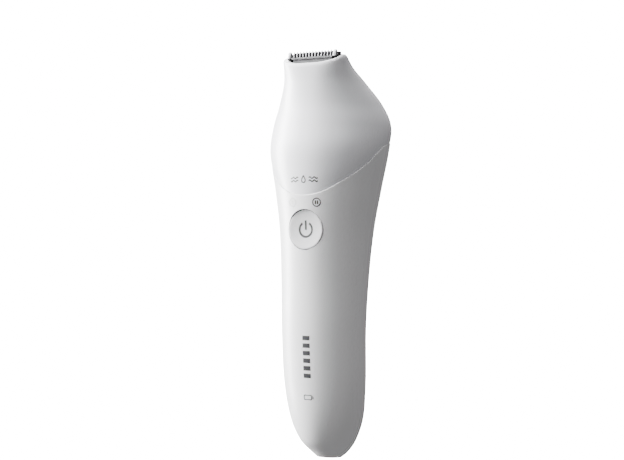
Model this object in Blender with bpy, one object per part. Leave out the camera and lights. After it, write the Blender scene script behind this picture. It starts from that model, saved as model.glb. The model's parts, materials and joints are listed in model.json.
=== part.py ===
"""Cordless body groomer: an S-shaped handle with a lift-off trimmer head.

Sizes are in millimetres, and to_metres places them. Z runs up the handle to the blade, measured
from the flat end face. Y is measured from the handle's own axis, with the power button at -Y.
The origin is moved under the middle of the body's depth.
"""

import math

import bmesh
import bpy
import numpy as np

# ---------------------------------------------------------------------------------------------
# Outer form
# ---------------------------------------------------------------------------------------------
BODY_WIDTH = 53.0  # across the widest section
GRIP_FOOT = 34.0
GRIP_LENGTH = 44.0
GRIP_TOP = GRIP_FOOT + GRIP_LENGTH  # heights of everything above the grip start here
WALL = 1.8  # thickness of the moulded shells
CLEAR = 0.3  # gap between pieces that sit against each other
RUNNING = 0.07  # radial clearance of a turning shaft

# Cross-sections: (height, half width, front, back, squareness). The half widths give the form,
# and are scaled to BODY_WIDTH.
LOWER_SECTIONS = (
    (0.0, 5.7, -2.5, 6.5, 2.0),
    (2.5, 8.6, -5.2, 9.4, 2.0),
    (8.0, 12.7, -10.6, 12.4, 2.0),
    (18.0, 16.6, -14.0, 13.6, 2.0),
    (GRIP_FOOT, 18.6, -16.0, 12.4, 2.05),
    (GRIP_FOOT + GRIP_LENGTH / 2, 18.9, -17.5, 12.3, 2.1),
)
# Heights above the grip's top
UPPER_SECTIONS = (
    (0.0, 19.4, -18.0, 15.0, 2.1),
    (20.0, 20.6, -18.6, 18.6, 2.1),
    (37.0, 23.4, -19.1, 21.4, 2.1),
    (53.0, 26.5, -19.5, 23.6, 2.1),
    (64.0, 26.3, -17.6, 26.2, 2.1),
    (73.0, 22.9, -16.0, 22.6, 2.15),
    (82.0, 18.2, -15.7, 12.4, 2.3),
    (88.0, 15.7, -15.9, 2.4, 2.6),
    (93.0, 14.9, -15.7, -4.7, 3.0),
    (95.5, 14.5, -15.5, -7.7, 3.1),
)
RING_POINTS = 36

# Seam of the trimmer head: (Y, height above the grip's top), one curve across the body
SEAM = (
    (-24.0, 29.0),
    (-19.0, 34.5),
    (-15.3, 39.3),
    (-9.8, 44.7),
    (-5.4, 48.8),
    (-2.1, 52.0),
    (3.0, 55.2),
    (10.0, 56.6),
    (18.0, 57.0),
    (32.0, 57.2),
)
PARTING_Y = -2.4  # plane where the front and rear shells meet

# Mouth of the head: low at the front, and rising to the back
MOUTH_FRONT_Y, MOUTH_FRONT_Z = -15.7, GRIP_TOP + 90.2
MOUTH_BACK_Y, MOUTH_BACK_Z = -5.1, GRIP_TOP + 94.0
MOUTH_CURVE = 2.2

# ---------------------------------------------------------------------------------------------
# Controls and lights
# ---------------------------------------------------------------------------------------------
BUTTON_Z = GRIP_TOP + 19.8
BUTTON_R = 8.25
BUTTON_GAP = 0.25
BUTTON_TRAVEL = 0.5
BUTTON_PROUD = 0.28  # how far the sides of its dished face stand out of the shell
DISH_SIDES, DISH_ENDS = 0.3, 1.0  # depth of the dish against its sides, and its top and bottom
SEAL_R, SEAL_THICK = BUTTON_R + 0.75, 0.8
SEAL_ROOM = 1.0  # between the button and its seal

LIGHT_X, LIGHT_Z, LIGHT_R = 5.9, GRIP_TOP + 31.2, 1.95
LIGHT_BACK_Y = -13.1
BATTERY_LIGHT_Z = 27.0
BATTERY_LIGHT_HALF_X, BATTERY_LIGHT_HALF_Z = 2.2, 1.0

# ---------------------------------------------------------------------------------------------
# Board, chassis and battery
# ---------------------------------------------------------------------------------------------
BOARD_Y, BOARD_THICK = -11.6, 1.0
BOARD_HALF, BOARD_TAIL_HALF = 8.5, 4.5
BOARD_LOW, BOARD_TAIL_TOP, BOARD_TOP = 24.0, GRIP_FOOT, GRIP_TOP + 33.4
BOARD_SCREWS = (GRIP_FOOT + 14.0, GRIP_TOP + 6.0)
SPINE_Y, SPINE_THICK, SPINE_HALF = -9.9, 1.0, 9.5
SHELF_THICK = 1.6
SADDLE_THICK = 2.0

CELL_R, CELL_LENGTH, CELL_LOW = 7.1, 50.0, 29.2
CELL_Y = SPINE_Y + SPINE_THICK + CLEAR + CELL_R
TAB_THICK = 0.3

# ---------------------------------------------------------------------------------------------
# Drive
# ---------------------------------------------------------------------------------------------
GEAR_MODULE, PINION_TEETH, GEAR_TEETH = 0.5, 12, 26
GEAR_DISTANCE = GEAR_MODULE * (PINION_TEETH + GEAR_TEETH) / 2
SPINDLE_Y, SPINDLE_R = -4.3, 1.5
MOTOR_Y = SPINDLE_Y + GEAR_DISTANCE
MOTOR_R, MOTOR_FLAT, CAN_WALL = 10.05, 7.55, 0.7
MOTOR_LOW, MOTOR_LENGTH, END_CAP = GRIP_TOP + 12.5, 22.0, 3.1
MOTOR_TOP = MOTOR_LOW + MOTOR_LENGTH
MOTOR_SCREW_X = 5.6
SHAFT_R = 1.0
PLATE_LOW, PLATE_THICK = MOTOR_TOP + CLEAR, 1.2
PLATE_TOP = PLATE_LOW + PLATE_THICK
GEAR_LOW, GEAR_WIDTH = PLATE_TOP + 1.1, 3.4
BUSH_WALL = 0.8
CRANK_R, CRANK_THROW, CRANK_LENGTH = 1.0, 0.6, 4.0

# Neck that the head plugs onto
NECK_Y, NECK_DEPTH, NECK_WALL = 0.8, 16.1 - WALL, 1.6
NECK_ROOM = WALL + 4.1  # from the body's side to the neck, for the shell, the flange and a gap
NECK_LOW, NECK_TOP, NECK_ROOF = PLATE_TOP + CLEAR, GRIP_TOP + 60.0, 1.8
FLANGE_THICK, FLANGE_SIDE, FLANGE_DEPTH = 1.6, 2.4, 0.8
GASKET_Z, GASKET_WIDE = GRIP_TOP + 53.0, 1.4
NECK_BOSS_R, NECK_BOSS_LOW = 4.2, NECK_TOP - 6.0

# Head release on the back
RELEASE_HALF, RELEASE_LOW, RELEASE_HIGH = 6.7, GRIP_TOP + 37.8, GRIP_TOP + 46.2
RELEASE_TRAVEL = 1.5
TONGUE_Y, TONGUE_THICK, TONGUE_HALF = 18.6, 1.2, 4.0
TONGUE_TOP, NOSE_OUT = GRIP_TOP + 64.4, 1.2
SPRING_R, SPRING_WIRE = 1.9, 0.25

# Charging socket
SOCKET_Y, SOCKET_HALF_X, SOCKET_HALF_Y, SOCKET_CORNER = 2.0, 3.2, 2.2, 1.3
SOCKET_WALL, SOCKET_DEPTH, SOCKET_TOP = 0.8, 8.5, 10.5
CONTACT_R, CONTACT_X, CONTACT_LENGTH = 0.55, 1.7, 4.0

# ---------------------------------------------------------------------------------------------
# Trimmer head
# ---------------------------------------------------------------------------------------------
COLLAR_LOW, COLLAR_GAP, COLLAR_WALL = GRIP_TOP + 50.0, 0.4, 1.3
DECK_LOW, DECK_THICK = GRIP_TOP + 65.0, 1.6
DECK_TOP = DECK_LOW + DECK_THICK
EAR_THICK = 1.4

PIVOT_Z, PIVOT_R, HUB_R = GRIP_TOP + 73.0, 1.0, 2.6
LEVER_HALF_DEPTH, FORK_ARM = 3.6, 2.0
FORK_LOW = NECK_TOP + 1.6
NUB_LOW, NUB_HIGH, NUB_HALF = GRIP_TOP + 85.6, GRIP_TOP + 87.8, 1.2

HOLDER_FRONT_Y = MOUTH_FRONT_Y + WALL + 0.6
HOLDER_WALL_Y, HOLDER_BACK_Y = HOLDER_FRONT_Y + 4.0, HOLDER_FRONT_Y + 7.0
BLADE_THICK, BLADE_GAP, GUARD_Y = 0.6, 0.3, HOLDER_FRONT_Y + 1.4
CUTTER_Y = GUARD_Y + BLADE_THICK + BLADE_GAP
COMB_TOP, COMB_ROOT = GRIP_TOP + 95.5, GRIP_TOP + 92.9
TOOTH_PITCH = 1.517
TOOTH_RIB = 0.9  # how far the comb's teeth stand forward of its plate
END_TOOTH_LEAST, END_TOOTH_GAP = 1.6, 0.5
COMB_GAP = 0.75  # from the comb's ends to the inside of the mouth
GUARD_LOW, CUTTER_LOW, CUTTER_TOP = GRIP_TOP + 81.0, GRIP_TOP + 84.2, GRIP_TOP + 94.9
HOLDER_LOW, HOLDER_FLOOR, HOLDER_TOP = GRIP_TOP + 79.0, 1.6, GRIP_TOP + 92.4
COMB_SCREW_X, COMB_SCREW_Z = 6.3, GRIP_TOP + 82.6
LEAF_LOW, LEAF_HIGH, LEAF_THICK = GRIP_TOP + 89.2, GRIP_TOP + 90.6, 0.25


HANDLE_HEIGHTS = [0, 1.2, 3, 6, 10, 15, 21, 27, GRIP_FOOT]
HANDLE_HEIGHTS += [GRIP_FOOT + GRIP_LENGTH * share for share in (0.33, 0.67, 1)]
HANDLE_HEIGHTS += [GRIP_TOP + up for up in (12, 22, 31, 39, 46, 53, 60)]
HEAD_HEIGHTS = [
    GRIP_TOP + up
    for up in (27, 34, 41, 47, 53, 58.5, 62, 66, 70, 74, 78.5, 83, 88, 91, 94.5)
]

COLOURS = {
    "shell_white": ((0.86, 0.86, 0.87), 0.28, 0.0),
    "head_white": ((0.86, 0.86, 0.89), 0.3, 0.0),
    "button_silver": ((0.74, 0.74, 0.75), 0.35, 0.3),
    "light_guide": ((0.9, 0.9, 0.9), 0.2, 0.0),
    "black_plastic": ((0.02, 0.02, 0.022), 0.45, 0.0),
    "grey_plastic": ((0.5, 0.51, 0.52), 0.5, 0.0),
    "rubber": ((0.12, 0.12, 0.13), 0.8, 0.0),
    "steel": ((0.62, 0.62, 0.63), 0.25, 1.0),
    "brass": ((0.75, 0.6, 0.3), 0.3, 1.0),
    "copper": ((0.72, 0.4, 0.24), 0.35, 1.0),
    "board_green": ((0.03, 0.22, 0.1), 0.5, 0.0),
    "cell_wrap": ((0.08, 0.25, 0.5), 0.4, 0.0),
    "white_acetal": ((0.9, 0.9, 0.87), 0.5, 0.0),
}
SIDES = (-1, 1)
SMOOTH_ANGLE = math.radians(32)


# ---------------------------------------------------------------------------------------------
# The body's surface
# ---------------------------------------------------------------------------------------------
def curve_through(rows, steps=16):
    """Points of a Catmull-Rom curve through rows of numbers."""
    table = np.array(rows, dtype=float)
    table = np.vstack([2 * table[0] - table[1], table, 2 * table[-1] - table[-2]])
    points = []
    for i in range(1, len(table) - 2):
        a, b, c, d = table[i - 1 : i + 3]
        for step in range(steps):
            t = step / steps
            square = (2 * a - 5 * b + 4 * c - d) * t**2
            cube = (3 * b - a - 3 * c + d) * t**3
            points.append((2 * b + (c - a) * t + square + cube) / 2)
    points.append(table[-2])
    return np.array(points)


def body_surface():
    upper = [(GRIP_TOP + row[0], *row[1:]) for row in UPPER_SECTIONS]
    rows = np.array([*LOWER_SECTIONS, *upper])
    rows[:, 1] *= BODY_WIDTH / 2 / rows[:, 1].max()
    return curve_through(rows)


SURFACE = body_surface()
SEAM_CURVE = curve_through([(y, GRIP_TOP + up) for y, up in SEAM], 4)


def section(z, inset=0.0):
    """Half width, middle, half depth and squareness of the body at one height."""
    half, front, back, power = (float(np.interp(z, SURFACE[:, 0], SURFACE[:, k])) for k in range(1, 5))
    return half - inset, (front + back) / 2, (back - front) / 2 - inset, power


def shell_inside(x, z):
    """Y of the front shell's inner face."""
    half, middle, depth, power = section(z, WALL)
    return middle - depth * (1 - (x / half) ** power) ** (1 / power)


# The seal clears the shell beside the button, and the button sits in front of it
SEAL_FRONT_Y = shell_inside(SEAL_R, BUTTON_Z) + CLEAR + 0.1
BUTTON_BACK_Y = SEAL_FRONT_Y - SEAL_ROOM

# The comb fills the mouth: as many slender teeth as fit, then a wide tooth at each end
TOOTH_HALF = 0.42
COMB_HALF = section(COMB_ROOT)[0] - WALL - COMB_GAP
SLENDER_HALF = COMB_HALF - TOOTH_HALF - END_TOOTH_GAP - END_TOOTH_LEAST
TOOTH_COUNT = 2 * int(SLENDER_HALF / TOOTH_PITCH) + 1
GUARD_HALF = (TOOTH_COUNT - 1) / 2 * TOOTH_PITCH + TOOTH_HALF + END_TOOTH_GAP
CUTTER_HALF = GUARD_HALF - 1.1


def body_ring(z, inset=0.0, height=None):
    """The outline of the body at z, put at another height where one is given."""
    half, middle, depth, power = section(z, inset)
    level = z if height is None else height
    return [(x, y, level) for x, y in oval((0, middle), half, depth, RING_POINTS, power)]


def middle_of_depth():
    fronts = [section(z)[1] - section(z)[2] for z in HEAD_HEIGHTS]
    backs = [section(z)[1] + section(z)[2] for z in HEAD_HEIGHTS]
    return (min(fronts) + max(backs)) / 2


def to_metres(x, y, z):
    return (x / 1000, (y - ORIGIN_Y) / 1000, z / 1000)


# ---------------------------------------------------------------------------------------------
# Outlines
# ---------------------------------------------------------------------------------------------
def oval(centre, half_a, half_b, sides=28, power=2.0):
    """An ellipse, or a squarer oval where power is above 2."""
    points = []
    for i in range(sides):
        turn = 2 * math.pi * i / sides
        s, c = math.sin(turn), math.cos(turn)
        a = half_a * math.copysign(abs(s) ** (2 / power), s)
        b = -half_b * math.copysign(abs(c) ** (2 / power), c)
        points.append((centre[0] + a, centre[1] + b))
    return points


def rectangle(a, b):
    return [(a[0], b[0]), (a[1], b[0]), (a[1], b[1]), (a[0], b[1])]


def rounded(a, b, radius, steps=4):
    """A rectangle with round corners, from its two ranges."""
    corners = ((a[1], b[1]), (a[0], b[1]), (a[0], b[0]), (a[1], b[0]))
    points = []
    for quarter, (corner_a, corner_b) in enumerate(corners):
        centre_a = corner_a - radius if quarter in (0, 3) else corner_a + radius
        centre_b = corner_b - radius if quarter in (0, 1) else corner_b + radius
        for i in range(steps + 1):
            turn = math.pi / 2 * (quarter + i / steps)
            points.append((centre_a + radius * math.cos(turn), centre_b + radius * math.sin(turn)))
    return points


def span(middle, half):
    return (middle - half, middle + half)


# ---------------------------------------------------------------------------------------------
# Solids
# ---------------------------------------------------------------------------------------------
def material(name):
    found = bpy.data.materials.get(name)
    if found:
        return found
    colour, roughness, metallic = COLOURS[name]
    made = bpy.data.materials.new(name)
    made.use_nodes = True
    shader = made.node_tree.nodes["Principled BSDF"]
    shader.inputs["Base Color"].default_value = (*colour, 1.0)
    shader.inputs["Roughness"].default_value = roughness
    shader.inputs["Metallic"].default_value = metallic
    return made


def loft(name, rings, look=None):
    """A closed solid through rings that have the same number of points."""
    count = len(rings[0])
    points = [to_metres(*point) for ring in rings for point in ring]
    faces = [list(range(count))]
    for level in range(len(rings) - 1):
        low, high = level * count, (level + 1) * count
        for i in range(count):
            j = (i + 1) % count
            faces.append([low + i, low + j, high + j, high + i])
    faces.append([len(points) - count + i for i in range(count)])
    mesh = bpy.data.meshes.new(name)
    mesh.from_pydata(points, [], faces)
    work = bmesh.new()
    work.from_mesh(mesh)
    bmesh.ops.recalc_face_normals(work, faces=work.faces)
    work.to_mesh(mesh)
    work.free()
    made = bpy.data.objects.new(name, mesh)
    bpy.context.scene.collection.objects.link(made)
    if look:
        mesh.materials.append(material(look))
    return made


def prism(name, outline, axis, levels, look=None):
    """An outline in the other two axes, extruded along axis between two levels."""
    rings = []
    for level in levels:
        if axis == "x":
            rings.append([(level, a, b) for a, b in outline])
        elif axis == "y":
            rings.append([(a, level, b) for a, b in outline])
        else:
            rings.append([(a, b, level) for a, b in outline])
    return loft(name, rings, look)


def box(name, x, y, z, look=None):
    return prism(name, rectangle(x, y), "z", z, look)


def rod(name, centre, radius, axis, levels, look=None, sides=16):
    return prism(name, oval(centre, radius, radius, sides), axis, levels, look)


def combine(target, tool, operation):
    """Applies a Boolean of tool on target, and removes tool."""
    modifier = target.modifiers.new(operation, "BOOLEAN")
    modifier.object = tool
    modifier.operation = operation
    modifier.solver = "EXACT"
    bpy.context.view_layer.update()
    graph = bpy.context.evaluated_depsgraph_get()
    looks = list(target.data.materials)
    mesh = bpy.data.meshes.new_from_object(target.evaluated_get(graph))
    target.modifiers.clear()
    target.data = mesh
    mesh.materials.clear()
    for look in looks:
        mesh.materials.append(look)
    bpy.data.objects.remove(tool)


def cut(target, *tools):
    for tool in tools:
        combine(target, tool, "DIFFERENCE")


def join(target, *tools):
    for tool in tools:
        combine(target, tool, "UNION")


def keep(target, tool):
    combine(target, tool, "INTERSECT")


def finish(target, joint=(0.0, None, 0.0)):
    """Shades round sides smooth, and puts the object's origin on its joint."""
    target.data.shade_smooth()
    target.data.set_sharp_from_angle(angle=SMOOTH_ANGLE)
    x, y, z = joint
    place = to_metres(x, ORIGIN_Y if y is None else y, z)
    work = bmesh.new()
    work.from_mesh(target.data)
    bmesh.ops.translate(work, verts=work.verts, vec=[-c for c in place])
    work.to_mesh(target.data)
    work.free()
    target.location = place


def body_form(heights, inset=0.0, name="form", look=None):
    return loft(name, [body_ring(z, inset) for z in heights], look)


def above_seam(shift):
    """Everything above the head's seam."""
    outline = [(y, z + shift) for y, z in SEAM_CURVE]
    outline += [(outline[-1][0], COMB_TOP + 20), (outline[0][0], COMB_TOP + 20)]
    return prism("above_seam", outline, "x", (-BODY_WIDTH, BODY_WIDTH))


def above_mouth():
    """Everything above the mouth of the head."""
    slope = (MOUTH_BACK_Z - MOUTH_FRONT_Z) * MOUTH_CURVE / (MOUTH_BACK_Y - MOUTH_FRONT_Y)
    outline = [(MOUTH_FRONT_Y - 10, MOUTH_FRONT_Z - 10 * slope)]
    for step in range(7):
        share = step / 6
        y = MOUTH_FRONT_Y + (MOUTH_BACK_Y - MOUTH_FRONT_Y) * share
        rise = (MOUTH_BACK_Z - MOUTH_FRONT_Z) * (1 - (1 - share) ** MOUTH_CURVE)
        outline.append((y, MOUTH_FRONT_Z + rise))
    outline += [(40, MOUTH_BACK_Z + 0.1), (40, COMB_TOP + 20), (outline[0][0], COMB_TOP + 20)]
    return prism("above_mouth", outline, "x", (-BODY_WIDTH, BODY_WIDTH))


# ---------------------------------------------------------------------------------------------
# Handle shells and what fills their openings
# ---------------------------------------------------------------------------------------------
def half_shell(name, y_range):
    """One half of the handle's shell, hollow, and open where the head plugs in."""
    shell = body_form(HANDLE_HEIGHTS, name=name, look="shell_white")
    floor = WALL + 0.5
    heights = [floor, *[z for z in HANDLE_HEIGHTS if z > floor + 1], HANDLE_HEIGHTS[-1] + 5]
    cut(shell, body_form(heights, WALL))
    keep(shell, box("side", (-BODY_WIDTH, BODY_WIDTH), y_range, (-5, COMB_TOP)))
    cut(shell, above_seam(-CLEAR / 2))
    return shell


def button_outline(radius):
    return oval((0, BUTTON_Z), radius, radius, 32)


def light_outline(side, radius):
    return oval((side * LIGHT_X, LIGHT_Z), radius, radius, 16)


def battery_light_outline(grow):
    x = span(0, BATTERY_LIGHT_HALF_X + grow)
    z = span(BATTERY_LIGHT_Z, BATTERY_LIGHT_HALF_Z + grow)
    return rounded(x, z, 0.4, 2)


def front_shell():
    shell = half_shell("front_shell", (-60, PARTING_Y - CLEAR / 2))
    through = (-30, -10)
    cut(shell, prism("hole", button_outline(BUTTON_R + BUTTON_GAP), "y", through))
    for side in SIDES:
        cut(shell, prism("hole", light_outline(side, LIGHT_R + CLEAR / 2), "y", through))
    cut(shell, prism("hole", battery_light_outline(CLEAR / 2), "y", (-30, -8)))
    finish(shell)


def socket_outline(grow):
    x = span(0, SOCKET_HALF_X + grow)
    y = span(SOCKET_Y, SOCKET_HALF_Y + grow)
    return rounded(x, y, SOCKET_CORNER + grow, 3)


def release_outline(grow, corner=2.3):
    x = span(0, RELEASE_HALF + grow)
    return rounded(x, (RELEASE_LOW - grow, RELEASE_HIGH + grow), corner + grow)


def rear_shell():
    shell = half_shell("rear_shell", (PARTING_Y + CLEAR / 2, 60))
    cut(shell, prism("hole", release_outline(CLEAR), "y", (12, 40)))
    cut(shell, prism("hole", socket_outline(SOCKET_WALL + CLEAR), "z", (-5, SOCKET_TOP)))
    finish(shell)


def flush_piece(name, outline, back_y, look):
    """A piece that fills an opening in the front shell, flush with its surface."""
    piece = prism(name, outline, "y", (-40, back_y), look)
    keep(piece, body_form(HANDLE_HEIGHTS))
    return piece


def button_face(x, z):
    """Y of the power button's dished face."""
    half, middle, depth, power = section(BUTTON_Z)
    shell_side = middle - depth * (1 - (BUTTON_R / half) ** power) ** (1 / power)
    bottom = shell_side - BUTTON_PROUD + DISH_SIDES
    return bottom - DISH_SIDES * (x / BUTTON_R) ** 2 - DISH_ENDS * ((z - BUTTON_Z) / BUTTON_R) ** 2


def power_button():
    outline = button_outline(BUTTON_R)
    rings = [[(x, BUTTON_BACK_Y, z) for x, z in outline]]
    for share in (1.0, 0.8, 0.6, 0.4, 0.2, 0.05):
        circle_points = [(x * share, BUTTON_Z + (z - BUTTON_Z) * share) for x, z in outline]
        rings.append([(x, button_face(x, z), z) for x, z in circle_points])
    button = loft("power_button", rings, "button_silver")
    reach = SEAL_FRONT_Y - BUTTON_TRAVEL - 0.05
    join(button, rod("stem", (0, BUTTON_Z), 3.0, "y", (BUTTON_BACK_Y - 0.5, reach), sides=16))
    finish(button, (0, BUTTON_BACK_Y, BUTTON_Z))


def button_seal():
    """Rubber membrane behind the button, with a nub over the switch."""
    back = SEAL_FRONT_Y + SEAL_THICK
    seal = rod("button_seal", (0, BUTTON_Z), SEAL_R, "y", (SEAL_FRONT_Y, back), "rubber", 20)
    join(seal, rod("nub", (0, BUTTON_Z), 1.5, "y", (back - 0.3, back + 0.2), sides=16))
    finish(seal)


def lights():
    for number, side in enumerate(SIDES, 1):
        outline = light_outline(side, LIGHT_R)
        finish(flush_piece(f"speed_light_{number}", outline, LIGHT_BACK_Y, "light_guide"))
    finish(flush_piece("battery_light", battery_light_outline(0), -12.9, "light_guide"))


def release_button():
    """Push button on the back, with a flange inside the shell and a tongue up to the catch."""
    outer = TONGUE_Y + TONGUE_THICK
    button = prism("release_button", release_outline(0), "y", (TONGUE_Y, 40), "shell_white")
    keep(button, body_form(HANDLE_HEIGHTS))
    ledge = (RELEASE_HIGH - 1.5, RELEASE_HIGH + 2.2)
    join(button, box("flange", span(0, RELEASE_HALF - 1.5), (TONGUE_Y, outer), ledge))
    tongue = (RELEASE_HIGH - 1, TONGUE_TOP)
    join(button, box("tongue", span(0, TONGUE_HALF), (TONGUE_Y, outer), tongue))
    nose = [(outer - 0.5, TONGUE_TOP - 1.8), (outer + NOSE_OUT, TONGUE_TOP - 1.8)]
    nose += [(outer + NOSE_OUT, TONGUE_TOP - 1.0), (outer - 0.5, TONGUE_TOP - 0.2)]
    join(button, prism("nose", nose, "x", span(0, TONGUE_HALF - 0.3)))
    pocket = SPRING_R + SPRING_WIRE + CLEAR
    depth = (TONGUE_Y - 2, TONGUE_Y + RELEASE_TRAVEL)
    cut(button, rod("pocket", (0, release_middle()), pocket, "y", depth, sides=16))
    finish(button, (0, TONGUE_Y, release_middle()))


def release_middle():
    return (RELEASE_LOW + RELEASE_HIGH) / 2


def release_spring():
    """Coil spring behind the release button, at its pressed length."""
    start = NECK_Y + NECK_DEPTH + CLEAR + SPRING_WIRE
    end = TONGUE_Y - 0.15 - SPRING_WIRE
    steps, sides, turns = 9, 5, 3
    rings = []
    for i in range(turns * steps + 1):
        turn = 2 * math.pi * i / steps
        along = start + (end - start) * i / (turns * steps)
        ring = []
        for k in range(sides):
            around = 2 * math.pi * k / sides
            reach = SPRING_R + SPRING_WIRE * math.cos(around)
            z = release_middle() + reach * math.sin(turn)
            ring.append((reach * math.cos(turn), along + SPRING_WIRE * math.sin(around), z))
        rings.append(ring)
    finish(loft("release_spring", rings, "steel"))


# ---------------------------------------------------------------------------------------------
# Socket, board, chassis and battery
# ---------------------------------------------------------------------------------------------
def charging_socket():
    inset = 0.4
    outline = socket_outline(SOCKET_WALL)
    body = prism("charging_socket", outline, "z", (inset, SOCKET_TOP), "black_plastic")
    cut(body, prism("recess", socket_outline(0), "z", (-5, SOCKET_DEPTH)))
    for side in SIDES:
        hole = CONTACT_R + 0.1
        cut(body, rod("hole", (side * CONTACT_X, SOCKET_Y), hole, "z", (5, 20), sides=12))
    finish(body)
    levels = (SOCKET_DEPTH - CONTACT_LENGTH, SOCKET_TOP + 2)
    for number, side in enumerate(SIDES, 1):
        centre = (side * CONTACT_X, SOCKET_Y)
        finish(rod(f"socket_contact_{number}", centre, CONTACT_R, "z", levels, "brass", 12))


def control_board():
    low, middle, top = BOARD_LOW, BOARD_TAIL_TOP, BOARD_TOP
    right = [(BOARD_TAIL_HALF, low), (BOARD_TAIL_HALF, middle), (BOARD_HALF, middle), (BOARD_HALF, top)]
    outline = right + [(-x, z) for x, z in reversed(right)]
    levels = (BOARD_Y, BOARD_Y + BOARD_THICK)
    board = prism("control_board", outline, "y", levels, "board_green")
    for z in BOARD_SCREWS:
        cut(board, rod("hole", (0, z), 1.1, "y", (-20, 0), sides=12))
    finish(board)


def screw(name, centre, axis, tip, seat, head_r=1.6, shank_r=0.8, head=1.1):
    """A cross-head screw. seat is the underside of its head, and tip is its other end."""
    way = 1 if seat > tip else -1
    made = rod(name, centre, shank_r, axis, sorted((tip, seat + way * 0.3)), "steel", 8)
    join(made, rod("head", centre, head_r, axis, sorted((seat, seat + way * head)), sides=10))
    levels = sorted((seat + way * (head - 0.4), seat + way * (head + 1)))
    arm, half = head_r * 0.65, 0.2
    cut(made, prism("slot", rectangle(span(centre[0], arm), span(centre[1], half)), axis, levels))
    cut(made, prism("slot", rectangle(span(centre[0], half), span(centre[1], arm)), axis, levels))
    finish(made)


def power_switch():
    front = SEAL_FRONT_Y + SEAL_THICK + 0.9
    levels = (front, BOARD_Y - 0.15)
    switch = prism("power_switch", rectangle(span(0, 3), span(BUTTON_Z, 3)), "y", levels, "black_plastic")
    actuator = (front - 0.4, front + 0.2)
    join(switch, rod("actuator", (0, BUTTON_Z), 1.7, "y", actuator, sides=16))
    finish(switch)


def board_parts():
    """The indicator lamps, the chips and the screws of the board."""
    seat = BOARD_Y - 0.15
    lamps = ((-LIGHT_X, LIGHT_Z), (LIGHT_X, LIGHT_Z), (0, BATTERY_LIGHT_Z))
    for number, (x, z) in enumerate(lamps, 1):
        outline = rectangle(span(x, 0.8), span(z, 0.6))
        finish(prism(f"indicator_led_{number}", outline, "y", (seat - 0.8, seat), "light_guide"))
    middle = (GRIP_FOOT + GRIP_TOP) / 2
    chips = ((0, middle + 14, 3.2, 3.2), (5.2, middle + 4, 1.6, 2.4), (-4.6, middle + 2, 1.2, 1.2))
    for number, (x, z, half_x, half_z) in enumerate(chips, 1):
        outline = rectangle(span(x, half_x), span(z, half_z))
        finish(prism(f"board_chip_{number}", outline, "y", (seat - 0.8, seat), "black_plastic"))
    for number, z in enumerate(BOARD_SCREWS, 1):
        screw(f"board_screw_{number}", (0, z), "y", SPINE_Y + SPINE_THICK - 0.2, seat)


def motor_outline(grow=0.0):
    """A round can with a flat front and back."""
    radius, flat = MOTOR_R + grow, MOTOR_FLAT + grow
    corner = math.asin(flat / radius)
    points = []
    for side in (0, 1):
        for i in range(9):
            turn = side * math.pi - corner + 2 * corner * i / 8
            points.append((radius * math.cos(turn), MOTOR_Y + radius * math.sin(turn)))
    return points


def chassis():
    """Inner frame: a spine behind the board, with saddles for the battery and the motor."""
    spine = (SPINE_Y, SPINE_Y + SPINE_THICK)
    low = CELL_LOW - 2.9
    frame = box("chassis", span(0, SPINE_HALF), spine, (low, PLATE_LOW - CLEAR - 0.2), "grey_plastic")
    joined = SPINE_Y + SPINE_THICK / 2
    join(frame, box("foot", span(0, 7.5), (joined, CELL_Y + 6), (low - 0.2, low + SHELF_THICK)))
    shelf = CELL_LOW + CELL_LENGTH + TAB_THICK + 0.9
    shelf_z = (shelf, shelf + SHELF_THICK)
    join(frame, box("shelf", span(0, SPINE_HALF - 0.2), (joined, CELL_Y + CELL_R), shelf_z))
    for share in (0.15, 0.5, 0.82):
        z = CELL_LOW + CELL_LENGTH * share
        saddle_x = span(0, CELL_R + 2.1)
        saddle = box("saddle", saddle_x, (joined, CELL_Y), (z, z + SADDLE_THICK))
        cut(saddle, rod("cell", (0, CELL_Y), CELL_R + CLEAR, "z", (z - 5, z + 5)))
        join(frame, saddle)
    for share in (0.2, 0.68):
        z = MOTOR_LOW + MOTOR_LENGTH * share
        cradle_x = span(0, MOTOR_R + 1.6)
        cradle = box("cradle", cradle_x, (joined, MOTOR_Y), (z, z + SADDLE_THICK))
        cut(cradle, prism("motor", motor_outline(CLEAR), "z", (z - 5, z + 5)))
        join(frame, cradle)
    for z in BOARD_SCREWS:
        cut(frame, rod("hole", (0, z), 1.0, "y", (-20, CELL_Y - CELL_R), sides=12))
    finish(frame)


def battery():
    top = CELL_LOW + CELL_LENGTH
    cell = rod("battery_cell", (0, CELL_Y), CELL_R, "z", (CELL_LOW, top - 1.2), "cell_wrap", 20)
    join(cell, rod("cap", (0, CELL_Y), 2.8, "z", (top - 2, top), sides=16))
    finish(cell)
    depth = (CELL_Y - 5, CELL_Y + 3)
    levels = ((CELL_LOW - CLEAR - TAB_THICK, CELL_LOW - CLEAR), (top + CLEAR, top + CLEAR + TAB_THICK))
    for number, tab_z in enumerate(levels, 1):
        finish(box(f"battery_tab_{number}", span(0, 2.5), depth, tab_z, "steel"))


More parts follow.
